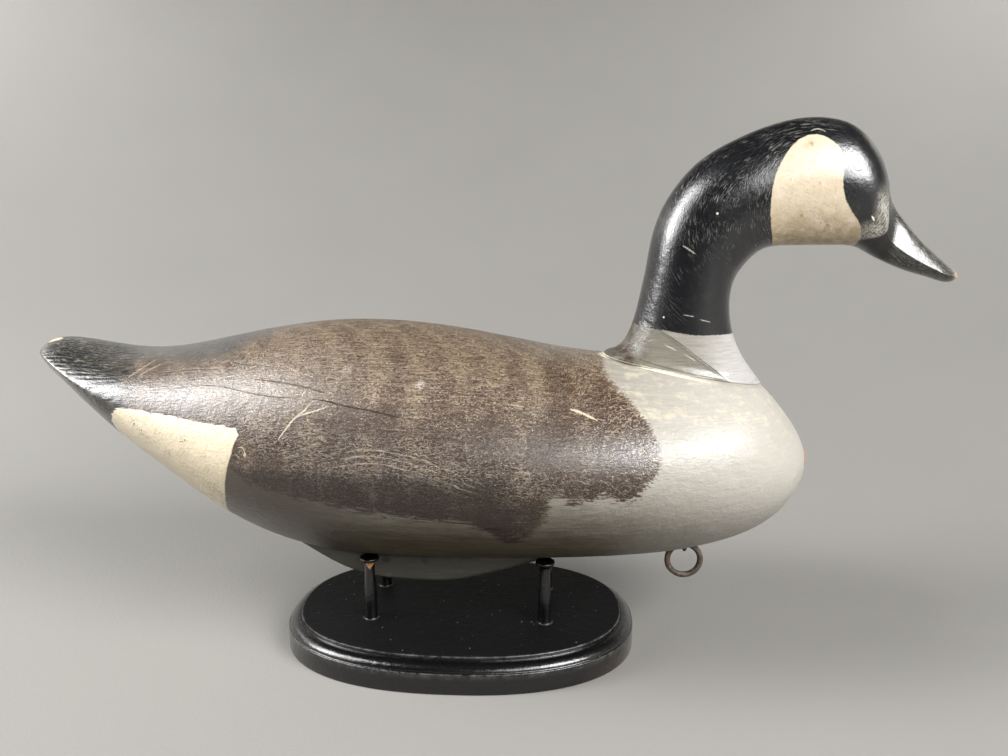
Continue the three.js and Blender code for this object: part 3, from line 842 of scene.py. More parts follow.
def arcScratches(add, look, at):
    # the bundle of curved scratches on the side
    wander = add("Math", {0: at["bands"], 1: -noiseMiddle}, **plus)
    away = heaped(add, at["arc"], (wander, look["arcWander"]))
    inBundle = add("MapRange", {0: add("Math", {0: away}, **without), **between(*look["arcWidth"])})
    lines = add("Math", {0: away, 1: math.pi / look["arcPitch"]}, **times)
    lines = add("Math", {0: lines}, operation="SINE")
    lines = add("MapRange", {0: add("Math", {0: lines}, **without), **between(*look["arcLine"])})
    return joined(add, times, lines, inBundle, at["arcStart"], at["arcEnd"], at["arcBroken"])


def knotSwirl(add, place, look, at):
    # the knot shows as a few broken turns of a swirl
    away = add("VectorMath", {0: place, 1: knotSpot}, out="Value", operation="DISTANCE")
    away = heaped(add, away, (at["mottle"], look["knotWander"]))
    swirl = add("Math", {0: away, 1: look["knotWave"]}, **times)
    swirl = add("Math", {0: swirl}, operation="SINE")
    swirl = add("MapRange", {0: swirl, **between(*look["knotLine"])})
    inKnot = add("MapRange", {0: away, **between(look["knotRadius"], look["knotRadius"] + 1, 1, 0)})
    return joined(add, times, swirl, inKnot, at["knotBroken"])


def paintBody(fields):
    # Oil paint on carved cedar under an old varnish: brushed, and combed while wet on the back,
    # so the eye sees fine bristle marks, curling strokes, worn patches and a broken shine.
    look = bodyPaint
    material, add, place, inks, at = newMaterial("oilPaintOnCedar", look, fields)
    grey = greySides(add, look, inks, at)
    brown, comb, stroke = combedBack(add, place, look, inks, at)

    # the brown ends in its own strokes: neatly in front, in ragged dry brushing low down
    ragged = add("Math", {0: at["dryBrush"], 1: -noiseMiddle}, **plus)
    ragged = heaped(add, at["brownEdge"], (ragged, at["fringe"]), (comb, look["combFringe"]))
    inBrown = add("MapRange", {0: ragged, **between(*look["brownEdge"])})
    # so do the dark saddle, the black tail and the cream rump
    saddle = heaped(add, at["saddleEdge"], (at["dry"], look["saddleFringe"]))
    saddle = add("MapRange", {0: saddle, **between(*look["saddleEdge"])}, **eased)
    tail = heaped(add, at["tailEdge"], (at["dry"], at["tailFringe"]))
    tail = add("MapRange", {0: tail, **between(*look["tailEdge"])}, **eased)
    rump = heaped(add, at["rumpEdge"], (at["dry"], at["rumpFringe"]))
    rump = add("MapRange", {0: rump, **between(*look["rumpEdge"])})
    # pale lines on the tail: partly dust, partly a painted highlight
    dust = joined(add, times, at["dustAndSheen"], at["dustRear"], at["dustPatches"])
    # the pale line along the ledge's edge: partly worn paint, partly a painted highlight
    ledge = joined(add, times, at["ledgeWearAndHighlight"], at["ledgePatches"], at["ledgeStart"], at["ledgeEnd"])
    lines = arcScratches(add, look, at)
    scratch = strongest(add, bodyScratches, at)
    scratch = add("Math", {0: scratch, 1: knotSwirl(add, place, look, at)}, **larger)
    crack = strongest(add, bodyCracks, at)
    paint = coated(add, grey, (inBrown, brown), (saddle, inks["saddleGrey"]), (tail, inks["black"]),
                   (dust, inks["tailDustAndSheen"]), (rump, creamRump(add, inks, at)), (ledge, inks["wornEdgeAndHighlight"]),
                   (at["chipped"], inks["bareWood"]), (lines, inks["combedPale"]),
                   (scratch, inks["scratch"]), (crack, inks["crack"]))

    combed = add("Math", {0: stroke, 1: inBrown}, **times)
    groove = add("Math", {0: at["y"], 1: 2 * math.pi / look["groovePitch"]}, **times)
    groove = heaped(add, groove, (at["mottle"], look["grooveWander"]))
    groove = add("Math", {0: groove}, operation="SINE")
    rumpStrokes = add("Math", {0: at["slanted"], 1: rump}, **times)
    high = look["heights"]
    relief = add("Math", {0: at["speckle"], 1: look["speckleHeight"]}, **times)
    relief = heaped(add, relief, (at["bristles"], high["bristles"]), (at["mottle"], high["mottle"]),
                    (rumpStrokes, high["rumpStrokes"]), (combed, at["combDepth"]), (crack, high["crack"]),
                    (scratch, high["scratch"]), (groove, at["grooveDepth"]))

    shine = heaped(add, at["shine"], (at["kept"], look["keptShine"]))
    coat = add("MapRange", {0: at["kept"], **between(0, 1, look["leastCoat"], 1)})
    coat = heaped(add, coat, (inBrown, look["brownCoat"]))
    coatHigh = add("Math", {0: at["coatHigh"], 1: at["kept"]}, **larger)
    coat = joined(add, times, coat, at["coatLow"], coatHigh)
    coat = add("Math", {0: coat, 1: 1}, operation="MINIMUM")
    coat = add("Math", {0: coat, 1: add("Math", {0: 1, 1: crack}, **minus)}, **times)
    finishMaterial(add, paint, relief, shine, IOR=1.35, Coat_Weight=coat, Coat_Roughness=0.23,
                   Coat_IOR=1.6)
    return material


bodyPiece, bodyPoints, bodyFields = makeBody()
dress(bodyPiece, "body", paintBody(bodyFields))

neckLook = {
    "rings": 420,
    "sides": 200,
    "tipSteps": 0.35,  # how much closer together the rings stand towards the tip of the bill
    "footSearch": 0.3,  # the share of the neck in which its lines come out of the glue line
    "carving": 0.25,  # mm, as on the body
    "carvingSize": 24,
    "carvingFades": (0.01, 0.03),  # shares of the way, at the foot and at the tip of the bill
    "facet": 0.7,  # mm, how far the flat cut behind the crack is let in
    "facetEdge": (-0.3, 1.6),  # mm behind the crack
    "facetFar": 0.6,  # the far side's share of it, with a softer edge
    "facetFarEdge": (-4, 8),
    "facetBack": (118, 132),  # x in mm
    "facetFront": (176, 186),
    "facetOut": (8, 20),  # mm from the middle line
    "flare": 4.5,  # mm, how far the foot runs out over the shoulder at the back
    "flareSide": 1.4,  # and at its side
    "flareHeight": 8,
    "flareOut": (5, 24),  # mm from the middle line
    "flareBack": (135, 105),  # x in mm
    "billStep": 0.8,  # mm, the face stands off the bill
    "billEdge": 0.8,
    "billStart": (258, 268),  # x in mm
    "faceStart": (240, 262),
    "stepFades": (276, 300),
    "billCrease": 0.9,  # how sharply the bill's flat sides meet its underside
    "creaseStart": (274, 290),
    "footInner": 0.985,  # a ring inside the foot's edge keeps that edge crisp
}
neckForm = ribForm(neckRibs, False, True)
neckLine = [(100, 236), (124, 232), (131, 231), (142, 230), (155, 228), (162, 227.5), (180, 227), (200, 225)]
cheekOutline = [(209, 270), (209, 285), (204.5, 296), (202.3, 306), (201.8, 314), (202.3, 322), (204, 330),
                (207, 337), (210.5, 343), (214.5, 348), (219, 352), (225, 354.6), (230, 355),
                (234.5, 353.8), (239, 351), (243, 347.5), (245.3, 343), (246, 338), (246, 333),
                (245.4, 327), (246, 321), (248.5, 314), (253, 307.5), (258, 302), (261, 297.5),
                (263.5, 291), (263.5, 286), (255, 270)]
neckCrack = [(137, 230), (149, 222), (162, 212), (173, 204), (184, 195)]
neckCrackWidth = 0.6
faceLine = [(284, 330), (279.5, 316), (279.3, 304), (277.5, 293), (271, 290.5), (263, 289.5)]
neckMarks = {
    "nickHigh": ([(139, 221), (147, 217.5)], 0.8, 0.55),
    "nickLow": ([(152, 215), (160, 210.5)], 0.8, 0.45),
    "dashOne": ([(161, 238), (169, 236)], 0.9, 0.4),
    "dashTwo": ([(150, 241), (158, 240)], 0.8, 0.35),
    "neckPatch": ([(148, 286), (152, 283.5), (157, 280)], 1.2, 0.35),
    "faceNick": ([(266, 305), (269, 301)], 1.3, 1.0),
    "cheekTop": ([(226, 357), (231, 358.5), (236, 356.5)], 1.0, 0.4),
}
# a dark line along the fold just over the ledge: painted shade in the crease
foldShadeLine = [(122, 211), (133, 208), (146, 205), (163, 201), (180, 198)]
foldShadeWidth = 1.0
paintDots = [(138, -24, 239), (169, -28, 306)]
cheekStains = [(226, 349, 2.6), (222, 305, 2.2), (240, 298, 2.6), (231, 325, 1.6), (213, 327, 1.4)]
eyeSpot = (255, 335)  # x and z of the carved eye's middle, on both sides


def signedAway(x, z, line):
    # distance to a line, more than 0 on its left
    away, side, _, _ = besideLine(x, z, throughPoints(line))
    return side * away


def neckRelief(points, ease):
    look = neckLook
    x, y, z = points[..., 0], points[..., 1], points[..., 2]
    out = np.abs(y)
    relief = look["carving"] * softNoise(points, look["carvingSize"], 5)
    footFade, tipFade = look["carvingFades"]
    relief *= smoothStep(0, tipFade, 1 - ease) * smoothStep(0, footFade, ease)
    # the flat cut on the near side of the foot ends in a crack; the far side has a softer one
    behind = -signedAway(x, z, neckCrack)
    far = look["facetFar"] * smoothStep(*look["facetFarEdge"], behind)
    let = np.where(y < 0, smoothStep(*look["facetEdge"], behind), far)
    let = let * smoothStep(*look["facetBack"], x) * (1 - smoothStep(*look["facetFront"], x))
    let = let * smoothStep(*look["facetOut"], out)
    relief -= look["facet"] * let
    over = z - seamHeight(x)
    flare = (1 - smoothStep(0, look["flareHeight"], over)) ** 2 * smoothStep(*look["flareOut"], out)
    reach = look["flareSide"] + (look["flare"] - look["flareSide"]) * smoothStep(*look["flareBack"], x)
    relief += reach * flare
    # the face stands proud of the bill
    edge, step = look["billEdge"], look["billStep"] / 2
    onBill = smoothStep(-edge, edge, signedAway(x, z, faceLine)) * smoothStep(*look["billStart"], x)
    relief += step * (1 - onBill) * smoothStep(*look["faceStart"], x)
    relief -= step * onBill * (1 - smoothStep(*look["stepFades"], x))
    return relief


def makeNeck():
    look = neckLook
    turn = np.arange(look["sides"]) * 2 * math.pi / look["sides"]
    # each line up the neck starts where it comes out of the glue line
    trial = np.linspace(0, look["footSearch"], 600)[:, None] * np.ones((1, look["sides"]))
    tried = sectionPoint(neckForm(trial), turn[None, :])
    over = tried[..., 2] - seamHeight(tried[..., 0])
    first = np.argmax(over > 0, axis=0)
    column = np.arange(look["sides"])
    low, high = over[first - 1, column], over[first, column]
    start = trial[first - 1, 0] + (trial[first, 0] - trial[first - 1, 0]) * -low / (high - low)
    ease = np.linspace(0, 1, look["rings"] + 1)[:, None]
    ease = ease + (np.sin(math.pi * ease / 2) - ease) * look["tipSteps"]
    ribs = neckForm(start[None, :] + (1 - start[None, :]) * ease)
    ribs[-1, :, 4] = 0
    crease = look["billCrease"] * smoothStep(*look["creaseStart"], ribs[..., 0] * ribUnit)
    points = sectionPoint(ribs, turn[None, :] + 0 * ease, crease)
    points = points + gridNormals(points) * neckRelief(points, ease)[..., None]
    points[0, :, 2] = seamHeight(points[0, :, 0])

    # the foot is closed flat on the glue line
    middle = points[0].mean(axis=0)
    inner = middle + (points[0] - middle) * look["footInner"]
    centre = middle + 0 * points[0]
    points = np.concatenate([centre[None], inner[None], points])
    x, y, z = points[..., 0], points[..., 1], points[..., 2]
    fields = {
        "blackEdge": signedAway(x, z, neckLine),
        "cheekEdge": insideOutline(x, z, cheekOutline),
        "faceEdge": signedAway(x, z, faceLine),
        "facetEdge": np.where(y < 0, -signedAway(x, z, neckCrack), -farAway),
        "overLedge": z - seamHeight(x),
        "neckCrack": markField(points, neckCrack, neckCrackWidth),
        "foldShadeLine": markField(points, foldShadeLine, foldShadeWidth),
        "stain": spotField(points, cheekStains),
    }
    for name, (line, width, _) in neckMarks.items():
        fields[name] = markField(points, line, width)
    return makeForm("head_neck_and_bill", points, fields), tuple(fields)


neckPaint = {
    "black": "#060608",
    "blackWorn": "#121315",
    "hairScratch": "#A3A19B",
    "cheek": "#BAAF9F",
    "cheekWarm": "#A9997E",
    "cheekDirtAndShade": "#86714C",
    "grey": "#807C73",
    "greyPale": "#9F9C99",
    # also the painted shade on the flat behind the crack
    "greyFlat": "#605D53",
    "brown": "#3A2B20",
    "scratch": "#CFC7B5",
    "wornEdgeAndHighlight": "#E6DDC8",
    "crack": "#3A3128",
    "scuff": "#A5A195",
    "bareWood": "#BFA27C",
    "blots": {"patches": (26, 4, 0.6), "mottle": (7, 4, 0.7), "speckle": (1.2, 2, 0.7)},
    "brushes": {
        "upright": {"width": 1.0, "reach": 16, "turn": math.pi / 2},
        "level": {"width": 1.1, "reach": 14, "across": 12},
        "slanted": {"width": 1.2, "reach": 9, "turn": 0.45},
        "fibres": {"width": 0.6, "reach": 7, "turn": -1.1},
        "billRubs": {"width": 0.5, "reach": 8, "turn": 0.62},
    },
    "shares": {
        # the black: fine scratches, a scuffed face, a rubbed bill whose rubs are partly a painted sheen, and
        # a bare tip
        "byCheek": ("cheekEdge", -30, -2, 0, 1, "soft"),
        "hairsHigh": ("z", 262, 318, 0.14, 0.85),
        "hairsBehind": ("x", 212, 250, 1, 0.1),
        "nearFace": ("faceEdge", -14, -5, 0, 1, "soft"),
        "offBill": ("faceEdge", -0.5, 0.5, 1, 0),
        "underCrown": ("z", 308, 330, 1, 0, "soft"),
        "onFace": ("x", 256, 266, 0, 1),
        "scuffed": ("fibres", 0.4, 0.58, 0.12, 0.9),
        "rubsAndSheen": ("billRubs", 0.46, 0.68, 0.04, 0.45),
        "onBill": ("x", 281, 290, 0, 1, "soft"),
        "onTip": ("x", 328, 331, 0, 1),
        "tipGrain": ("speckle", 0.38, 0.48, 0, 0.9),
        # the cheek, darker low down: partly soiling, partly painted shade under the jaw
        "soilAndShadeLow": ("z", 318, 286, 0.1, 1, "soft"),
        "soiledPatches": ("mottle", 0.35, 0.65, 0.1, 1),
        "rubbed": ("slanted", 0.55, 0.68, 0, 0.6),
        "dots": ("speckle", 0.64, 0.7, 0, 0.55),
        "stained": ("stain", 0, 0.6, 0, 1),
        "stainGrain": ("speckle", 0.42, 0.52, 0.2, 0.9),
        # the grey foot, with painted shade on the flat behind the crack
        "tone": ("level", 0.4, 0.6, -0.08, 0.12, "open"),
        "frontwards": ("x", 150, 196, 0, 1, "soft"),
        "shadedFlatCut": ("facetEdge", -0.5, 1, 0, 0.75),
        "rearwards": ("x", 138, 112, 0, 2, "soft"),
        "lumps": ("mottle", 0.4, 0.6, 0, 1),
        # the pale hem just over the ledge: partly wear, partly a painted highlight
        "hemWearAndHighlight": ("overLedge", 0.2, 0.8, 0.9, 0),
        "hemEnd": ("x", 140, 175, 1, 0),
        "hemPatches": ("mottle", 0.36, 0.48, 0.3, 1),
        "wander": ("speckle", 0.3, 0.7, -0.6, 0.6, "open"),
        "blackShine": ("patches", 0.3, 0.7, 0.2, 0.3),
    },
    # the fine scratches are drawn twice as wide as real ones so that they show; sizes in mm
    "hairRays": {"outward": 0.5, "around": 8, "across": 4},
    "hairCentre": (205, 0, 300),
    "hairCentreCheek": (228, 0, 312),
    "hairs": (0.54, 0.66, 0, 1),
    "hairThick": (0.92, 1.25, 0.03, 0.55),  # thick in some patches
    "hairByCheek": 0.34,
    "soiledStrokes": 0.75,
    "blackWander": 0.5,
    "cheekWander": 0.4,
    "paintEdge": (-0.3, 0.3, 0, 1),
    "dot": (0.5, 0.9, 0.9, 0),  # mm from the middle of a dot of paint
    "crackEdge": (0.4, 1.1, 0.8, 0),
    "foldShadeEdge": (0.2, 1.3, 0.5, 0),
    "eyeRadius": 3.4,
    "eyeLine": (0.2, 1.1, 1, 0),
    # relief in mm
    "heights": {"fine": 0.2, "speckle": 0.08, "hairs": -0.09, "scuff": 0.25, "lumps": 0.5, "eye": -0.14,
                "crack": -0.6},
    "mottleHeight": 0.5,
    "dullShine": 0.42,
    "dullCoat": 0.5,
}


def scratchedBlack(add, place, look, inks, at):
    # fine scratches circle the back of the cheek, thick in some patches
    hairs, byCheek = (
        add("MapRange", {0: circling(add, place, centre, **look["hairRays"]), **between(*look["hairs"])})
        for centre in (look["hairCentre"], look["hairCentreCheek"])
    )
    hairs = add("Mix", {0: at["byCheek"], 2: hairs, 3: byCheek})
    thick = add("Math", {0: at["patches"], 1: at["mottle"]}, **plus)
    thick = add("MapRange", {0: thick, **between(*look["hairThick"])}, **eased)
    thickByCheek = add("Math", {0: at["byCheek"], 1: at["mottle"]}, **times)
    thick = heaped(add, thick, (thickByCheek, look["hairByCheek"]))
    upBack = add("Math", {0: at["hairsHigh"], 1: at["hairsBehind"]}, **times)
    thick = add("Math", {0: thick, 1: upBack}, **times)
    hairs = add("Math", {0: hairs, 1: thick}, **times)
    # scuffed wood fibres show on the face just before the bill, which handling has rubbed lengthways; the
    # bill's rubs are partly wear, partly a painted sheen
    scuff = joined(add, times, at["nearFace"], at["offBill"], at["underCrown"], at["onFace"], at["scuffed"])
    rubsAndSheen = add("Math", {0: at["rubsAndSheen"], 1: at["onBill"]}, **times)
    tip = add("Math", {0: at["onTip"], 1: at["tipGrain"]}, **times)
    black = coated(add, inks["black"], (at["patches"], inks["blackWorn"]), (hairs, inks["hairScratch"]),
                   (scuff, inks["scuff"]), (rubsAndSheen, inks["scuff"]), (tip, inks["bareWood"]))
    return black, hairs, scuff


def creamCheek(add, look, inks, at):
    # the cheek is mottled, rubbed aslant, and darker low down: partly soiled, partly painted shade under the
    # jaw
    soiledAndShaded = add("Math", {0: at["soilAndShadeLow"], 1: at["soiledPatches"]}, **times)
    rubbed = add("Math", {0: at["rubbed"], 1: at["patches"]}, **times)
    soiledAndShaded = add("Math", {0: soiledAndShaded, 1: look["soiledStrokes"], 2: rubbed}, **timesPlus)
    stain = add("Math", {0: at["stained"], 1: at["stainGrain"]}, **times)
    dots = add("Math", {0: at["dots"], 1: stain}, **larger)
    soiledAndShaded = add("Math", {0: soiledAndShaded, 1: dots}, **larger)
    return coated(add, inks["cheek"], (at["mottle"], inks["cheekWarm"]), (soiledAndShaded, inks["cheekDirtAndShade"]))


def greyFoot(add, inks, at):
    # the grey foot: painted shade on the flat behind the crack, brown at the back
    frontwards = add("Math", {0: at["frontwards"], 1: at["tone"]}, **plus)
    flat = add("Math", {0: at["shadedFlatCut"], 1: at["tone"]}, **minus)
    lumpy = add("Math", {0: at["slanted"], 1: at["mottle"]}, **larger)
    lumpy = add("Math", {0: at["rearwards"], 1: lumpy}, **times)
    brown = coated(add, inks["brown"], (at["lumps"], inks["greyFlat"]))
    # the pale hem over the ledge is partly wear, partly a painted highlight
    hemWearAndHighlight = joined(add, times, at["hemWearAndHighlight"], at["hemEnd"], at["hemPatches"])
    grey = coated(add, inks["grey"], (frontwards, inks["greyPale"]), (flat, inks["greyFlat"]),
                  (lumpy, brown), (hemWearAndHighlight, inks["wornEdgeAndHighlight"]))
    return grey, lumpy


def paintNeck(fields):
    # Black and cream oil paint under varnish, glossy, rubbed and finely scratched by handling, with a
    # painted sheen on the bill and painted shade low on the cheek, on the foot's flat and in its fold
    look = neckPaint
    material, add, place, inks, at = newMaterial("oilPaintOnPine", look, fields)
    black, hairs, scuff = scratchedBlack(add, place, look, inks, at)
    grey, lumpy = greyFoot(add, inks, at)
    blackEdge = heaped(add, at["blackEdge"], (at["wander"], look["blackWander"]))
    cheekEdge = heaped(add, at["cheekEdge"], (at["wander"], look["cheekWander"]))
    isBlack, isCheek = (add("MapRange", {0: edge, **between(*look["paintEdge"])})
                        for edge in (blackEdge, cheekEdge))
    scratch = strongest(add, neckMarks, at)
    for spot in paintDots:
        away = add("VectorMath", {0: place, 1: spot}, out="Value", operation="DISTANCE")
        dot = add("MapRange", {0: away, **between(*look["dot"])})
        scratch = add("Math", {0: scratch, 1: dot}, **larger)
    # the fold's dark line is painted shade in the crease
    onCrack, onFoldShade = (add("Math", {0: at[line]}, **without) for line in ("neckCrack", "foldShadeLine"))
    crack = add("MapRange", {0: onCrack, **between(*look["crackEdge"])})
    foldShade = add("MapRange", {0: onFoldShade, **between(*look["foldShadeEdge"])})
    crack = add("Math", {0: crack, 1: foldShade}, **larger)
    paint = coated(add, grey, (isBlack, black), (isCheek, creamCheek(add, look, inks, at)),
                   (scratch, inks["scratch"]), (crack, inks["crack"]))

    # a faint ring is carved for each eye and painted over
    sideView = add("CombineXYZ", {0: at["x"], 2: at["z"]})
    eyeMiddle = (eyeSpot[0], 0, eyeSpot[1])
    eye = add("VectorMath", {0: sideView, 1: eyeMiddle}, out="Value", operation="DISTANCE")
    eye = add("Math", {0: add("Math", {0: eye, 1: -look["eyeRadius"]}, **plus)}, **without)
    eye = add("MapRange", {0: eye, **between(*look["eyeLine"])}, **eased)

    lumps = add("Math", {0: at["lumps"], 1: at["speckle"]}, **plus)
    parts = {
        "fine": add("Mix", {0: isBlack, 2: at["level"], 3: at["upright"]}),
        "speckle": at["speckle"],
        "hairs": hairs,
        "scuff": scuff,
        "lumps": add("Math", {0: lumps, 1: lumpy}, **times),
        "eye": eye,
        "crack": crack,
    }
    relief = add("Math", {0: at["mottle"], 1: look["mottleHeight"]}, **times)
    relief = heaped(add, relief, *((parts[key], height) for key, height in look["heights"].items()))
    # the cream and the grey are duller than the black
    glossy = add("Math", {0: isBlack, 1: isCheek}, **minus)
    shine = add("Mix", {0: glossy, 2: look["dullShine"], 3: at["blackShine"]})
    coat = add("MapRange", {0: glossy, **between(0, 1, look["dullCoat"], 1)})
    finishMaterial(add, paint, relief, shine, IOR=1.2, Coat_Weight=coat, Coat_Roughness=0.21,
                   Coat_IOR=1.6)
    return material


neckPiece, neckFields = makeNeck()
dress(neckPiece, "head_and_neck", paintNeck(neckFields))

keelLook = {
    "thickness": 25.4,  # mm, an inch board
    "edgeRound": 3.0,
    "stations": 180,
    "edgeSteps": 7,
    "sideShares": (0.33, 0.66),  # where points stand up its sides
    "underShares": (-0.4, 0, 0.4),  # and across its underside
    "leastHeight": 0.05,
    "looksUpFrom": -200,  # mm, below everything: from here it looks up for the body's underside
}
keelSpots = [(-53, 61, 4.5), (-25, 60.5, 4)]


def makeKeel():
    look = keelLook
    half, edge = look["thickness"] / 2, look["edgeRound"]
    rings, sides = bodyPoints.shape[:2]
    tree = BVHTree.FromPolygons([Vector(p) for p in bodyPoints.reshape(-1, 3)], gridFaces(rings, sides))
    line = [(x * ribUnit, z * ribUnit + lift) for x, z in keelOutline]
    under = np.array(throughPoints(line, step=(line[-1][0] - line[0][0]) / look["stations"]))
    quarter = np.linspace(0, math.pi / 2, look["edgeSteps"])
    ringsDown = []
    for x, z in under:
        roof = []
        for y in (half, 0, -half):
            struck = tree.ray_cast(Vector((x, y, look["looksUpFrom"])), Vector((0, 0, 1)))[0]
            roof.append((struck.z if struck else z) - gap)
        low = min(z, min(roof) - look["leastHeight"])
        r = min(edge, min(roof) - low)
        ring = [(x, half, roof[0]), (x, 0, roof[1]), (x, -half, roof[2])]
        ring += [(x, -half, low + r + (roof[2] - low - r) * s) for s in look["sideShares"][::-1]]
        ring += [(x, -half + r - r * math.cos(a), low + r - r * math.sin(a)) for a in quarter]
        ring += [(x, half * s, low) for s in look["underShares"]]
        ring += [(x, half - r + r * math.sin(a), low + r - r * math.cos(a)) for a in quarter]
        ring += [(x, half, low + r + (roof[0] - low - r) * s) for s in look["sideShares"]]
        ringsDown.append(ring)
    points = np.array(ringsDown)
    fields = {"spot": spotField(points, keelSpots)}
    return makeForm("keel_board", points, fields, startPoint=False, endPoint=False)


def paintKeel():
    # Grey oil paint on a pine board whose grain lies along it, dull, scuffed in patches along the grain
    look = {
        "grey": "#4F4D44",
        "dark": "#35332C",
        "worn": "#6E695B",
        "stain": "#201D19",
        "brushes": {"grain": {"width": 1.5, "reach": 30}},
        "blots": {"mottle": (12, 4, 0.7)},
        "shares": {"stained": ("spot", 0, 0.4, 0, 0.7)},
        "scuffs": (0.3, 0.42, 0, 0.5),
        "grainHeight": 0.3,  # mm
        "shine": 0.5,
    }
    material, add, _, inks, at = newMaterial("oilPaintOnBoard", look, ("spot",))
    worn = add("Math", {0: at["grain"], 1: at["mottle"]}, **times)
    worn = add("MapRange", {0: worn, **between(*look["scuffs"])})
    paint = coated(add, inks["grey"], (at["mottle"], inks["dark"]), (worn, inks["worn"]),
                   (at["stained"], inks["stain"]))
    relief = add("Math", {0: at["grain"], 1: look["grainHeight"]}, **times)
    finishMaterial(add, paint, relief, look["shine"], IOR=1.5)
    return material


dress(makeKeel(), "keel", paintKeel())

plugLook = {
    "radius": 5.6,  # mm
    "depth": 9,  # into the breast
    "proud": 2.9,  # out of it
    "round": 1.2,
    "roundHeight": 0.75,  # the rounded edge is lower than it is wide
    "roundStart": 0.2,  # radians
    "roundSteps": 8,
    "shoulder": -2,
    # the end dips to the pith: share of the radius and depth in mm
    "dish": [(0.5, 0.12), (0.25, 0.1), (0.12, 0.5), (0, 0.6)],
    "roughness": 0.12,
    "roughnessSize": 2.5,
    "sides": 64,
}


def makePlug():
    look = plugLook
    r, top, rounding = look["radius"], look["proud"], look["round"]
    profile = [(0, -look["depth"]), (r, -look["depth"]), (r, look["shoulder"]), (r, top - rounding)]
    for a in np.linspace(look["roundStart"], math.pi / 2, look["roundSteps"]):
        high = 1 - look["roundHeight"] * math.sin(a)
        profile.append((r - rounding * (1 - math.cos(a)), top - rounding * high))
    profile += [(r * radius, top - depth) for radius, depth in look["dish"]]
    points = lathe(profile, look["sides"])
    tip = bodyRibs[-1][0] * ribUnit
    middle = (plugLow + plugHigh) / 2
    turned = np.stack([points[..., 2] + tip, points[..., 1], middle[2] - points[..., 0]], -1)
    turned += look["roughness"] * softNoise(turned, look["roughnessSize"], 9)[..., None]
    return makeForm("breast_plug_wood", turned)


def woodPlug():
    # A pine dowel's sawn end, bare: pale tan with rings, a dark pith and dirt in the pores
    look = {
        "wood": "#B98E5B",
        "ring": "#85603A",
        "dirt": "#3A2718",
        "blots": {"speckle": (0.8, 3, 0.5)},
        "ringPitch": 1.3,  # mm
        "rings": (-1, 1, 0, 0.6),
        "pith": (0.9, 1.8, 0.9, 0),
        "rim": (2.6, 3.4, 0, 0.7),
        "poreHeight": 0.2,
        "shine": 0.75,
    }
    material, add, place, inks, at = newMaterial("bareEndGrainPine", look)
    middle = (plugLow + plugHigh) / 2
    local = add("VectorMath", {0: place, 1: tuple(-middle)}, **plus)
    local = add("VectorMath", {0: local, 1: (0, 1, 1)}, **times)
    radius = add("VectorMath", {0: local}, out="Value", operation="LENGTH")
    rings = add("Math", {0: radius, 1: 2 * math.pi / look["ringPitch"], 2: at["speckle"]}, **timesPlus)
    rings = add("MapRange", {0: add("Math", {0: rings}, operation="SINE"), **between(*look["rings"])})
    pith = add("MapRange", {0: radius, **between(*look["pith"])})
    rim = add("Math", {0: at["speckle"], 1: radius}, **times)
    rim = add("MapRange", {0: rim, **between(*look["rim"])})
    paint = coated(add, inks["wood"], (rings, inks["ring"]), (pith, inks["dirt"]), (rim, inks["dirt"]))
    relief = add("Math", {0: at["speckle"], 1: look["poreHeight"]}, **times)
    finishMaterial(add, paint, relief, look["shine"], IOR=1.5)
    return material


dress(makePlug(), "breast_plug", woodPlug())

tieLook = {
    "ringRadius": 11.75,  # mm, to the middle of the wire; wires are given by their radius
    "ringWire": 2.1,
    "ringSteps": 120,
    "ringSides": 24,
    "hammering": 0.14,  # mm
    "hammerSize": 3,
    "stapleWire": 1.4,
    "stapleThin": 0.05,  # the staple's wire is drawn this much thinner than its solid
    "stapleSides": 16,
    "legSpacing": 9,
    "legSteps": 8,
    "crownSteps": 25,
    "legTop": 0.2,
}


def tube(path, radius, sides, closed=False):
    # rings of points round a path of points in space
    path = np.array(path, float)
    if closed:
        ahead = np.roll(path, -1, 0) - np.roll(path, 1, 0)
    else:
        ahead = np.gradient(path, axis=0)
    ahead /= np.linalg.norm(ahead, axis=1, keepdims=True)
    alongX = np.abs(ahead[:, 0]).max() > 0.9
    across = np.array([0, 1.0, 0]) if alongX else np.array([1.0, 0, 0])
    first = across - ahead * (ahead @ across)[:, None]
    first /= np.linalg.norm(first, axis=1, keepdims=True)
    second = np.cross(ahead, first)
    turn = np.linspace(0, 2 * math.pi, sides, endpoint=False)
    circle = np.cos(turn)[None, :, None] * first[:, None] + np.sin(turn)[None, :, None] * second[:, None]
    return path[:, None] + circle * radius


def makeRing():
    look = tieLook
    low, high = boxOf("line_ring")
    turn = np.linspace(0, 2 * math.pi, look["ringSteps"], endpoint=False)
    path = (low + high) / 2 + look["ringRadius"] * np.stack([np.cos(turn), 0 * turn, np.sin(turn)], -1)
    points = tube(path, look["ringWire"], look["ringSides"], closed=True)
    points += look["hammering"] * softNoise(points, look["hammerSize"], 11)[..., None]
    rings, sides = points.shape[:2]
    return makeMesh("line_ring_iron", points.reshape(-1, 3), gridFaces(rings, sides, loop=True))


def makeStaple():
    look = tieLook
    low, high = boxOf("staple")
    x = (low[0] + high[0]) / 2
    half = look["legSpacing"] / 2
    crown = low[2] + look["stapleWire"]
    top = high[2] - look["legTop"]
    path = [(x, -half, z) for z in np.linspace(top, crown + half, look["legSteps"])]
    for a in np.linspace(0, math.pi, look["crownSteps"])[1:-1]:
        path.append((x, -half * math.cos(a), crown + half * (1 - math.sin(a))))
    path += [(x, half, z) for z in np.linspace(crown + half, top, look["legSteps"])]
    points = tube(path, look["stapleWire"] - look["stapleThin"], look["stapleSides"])
    return makeForm("staple_iron", points, startPoint=False, endPoint=False)


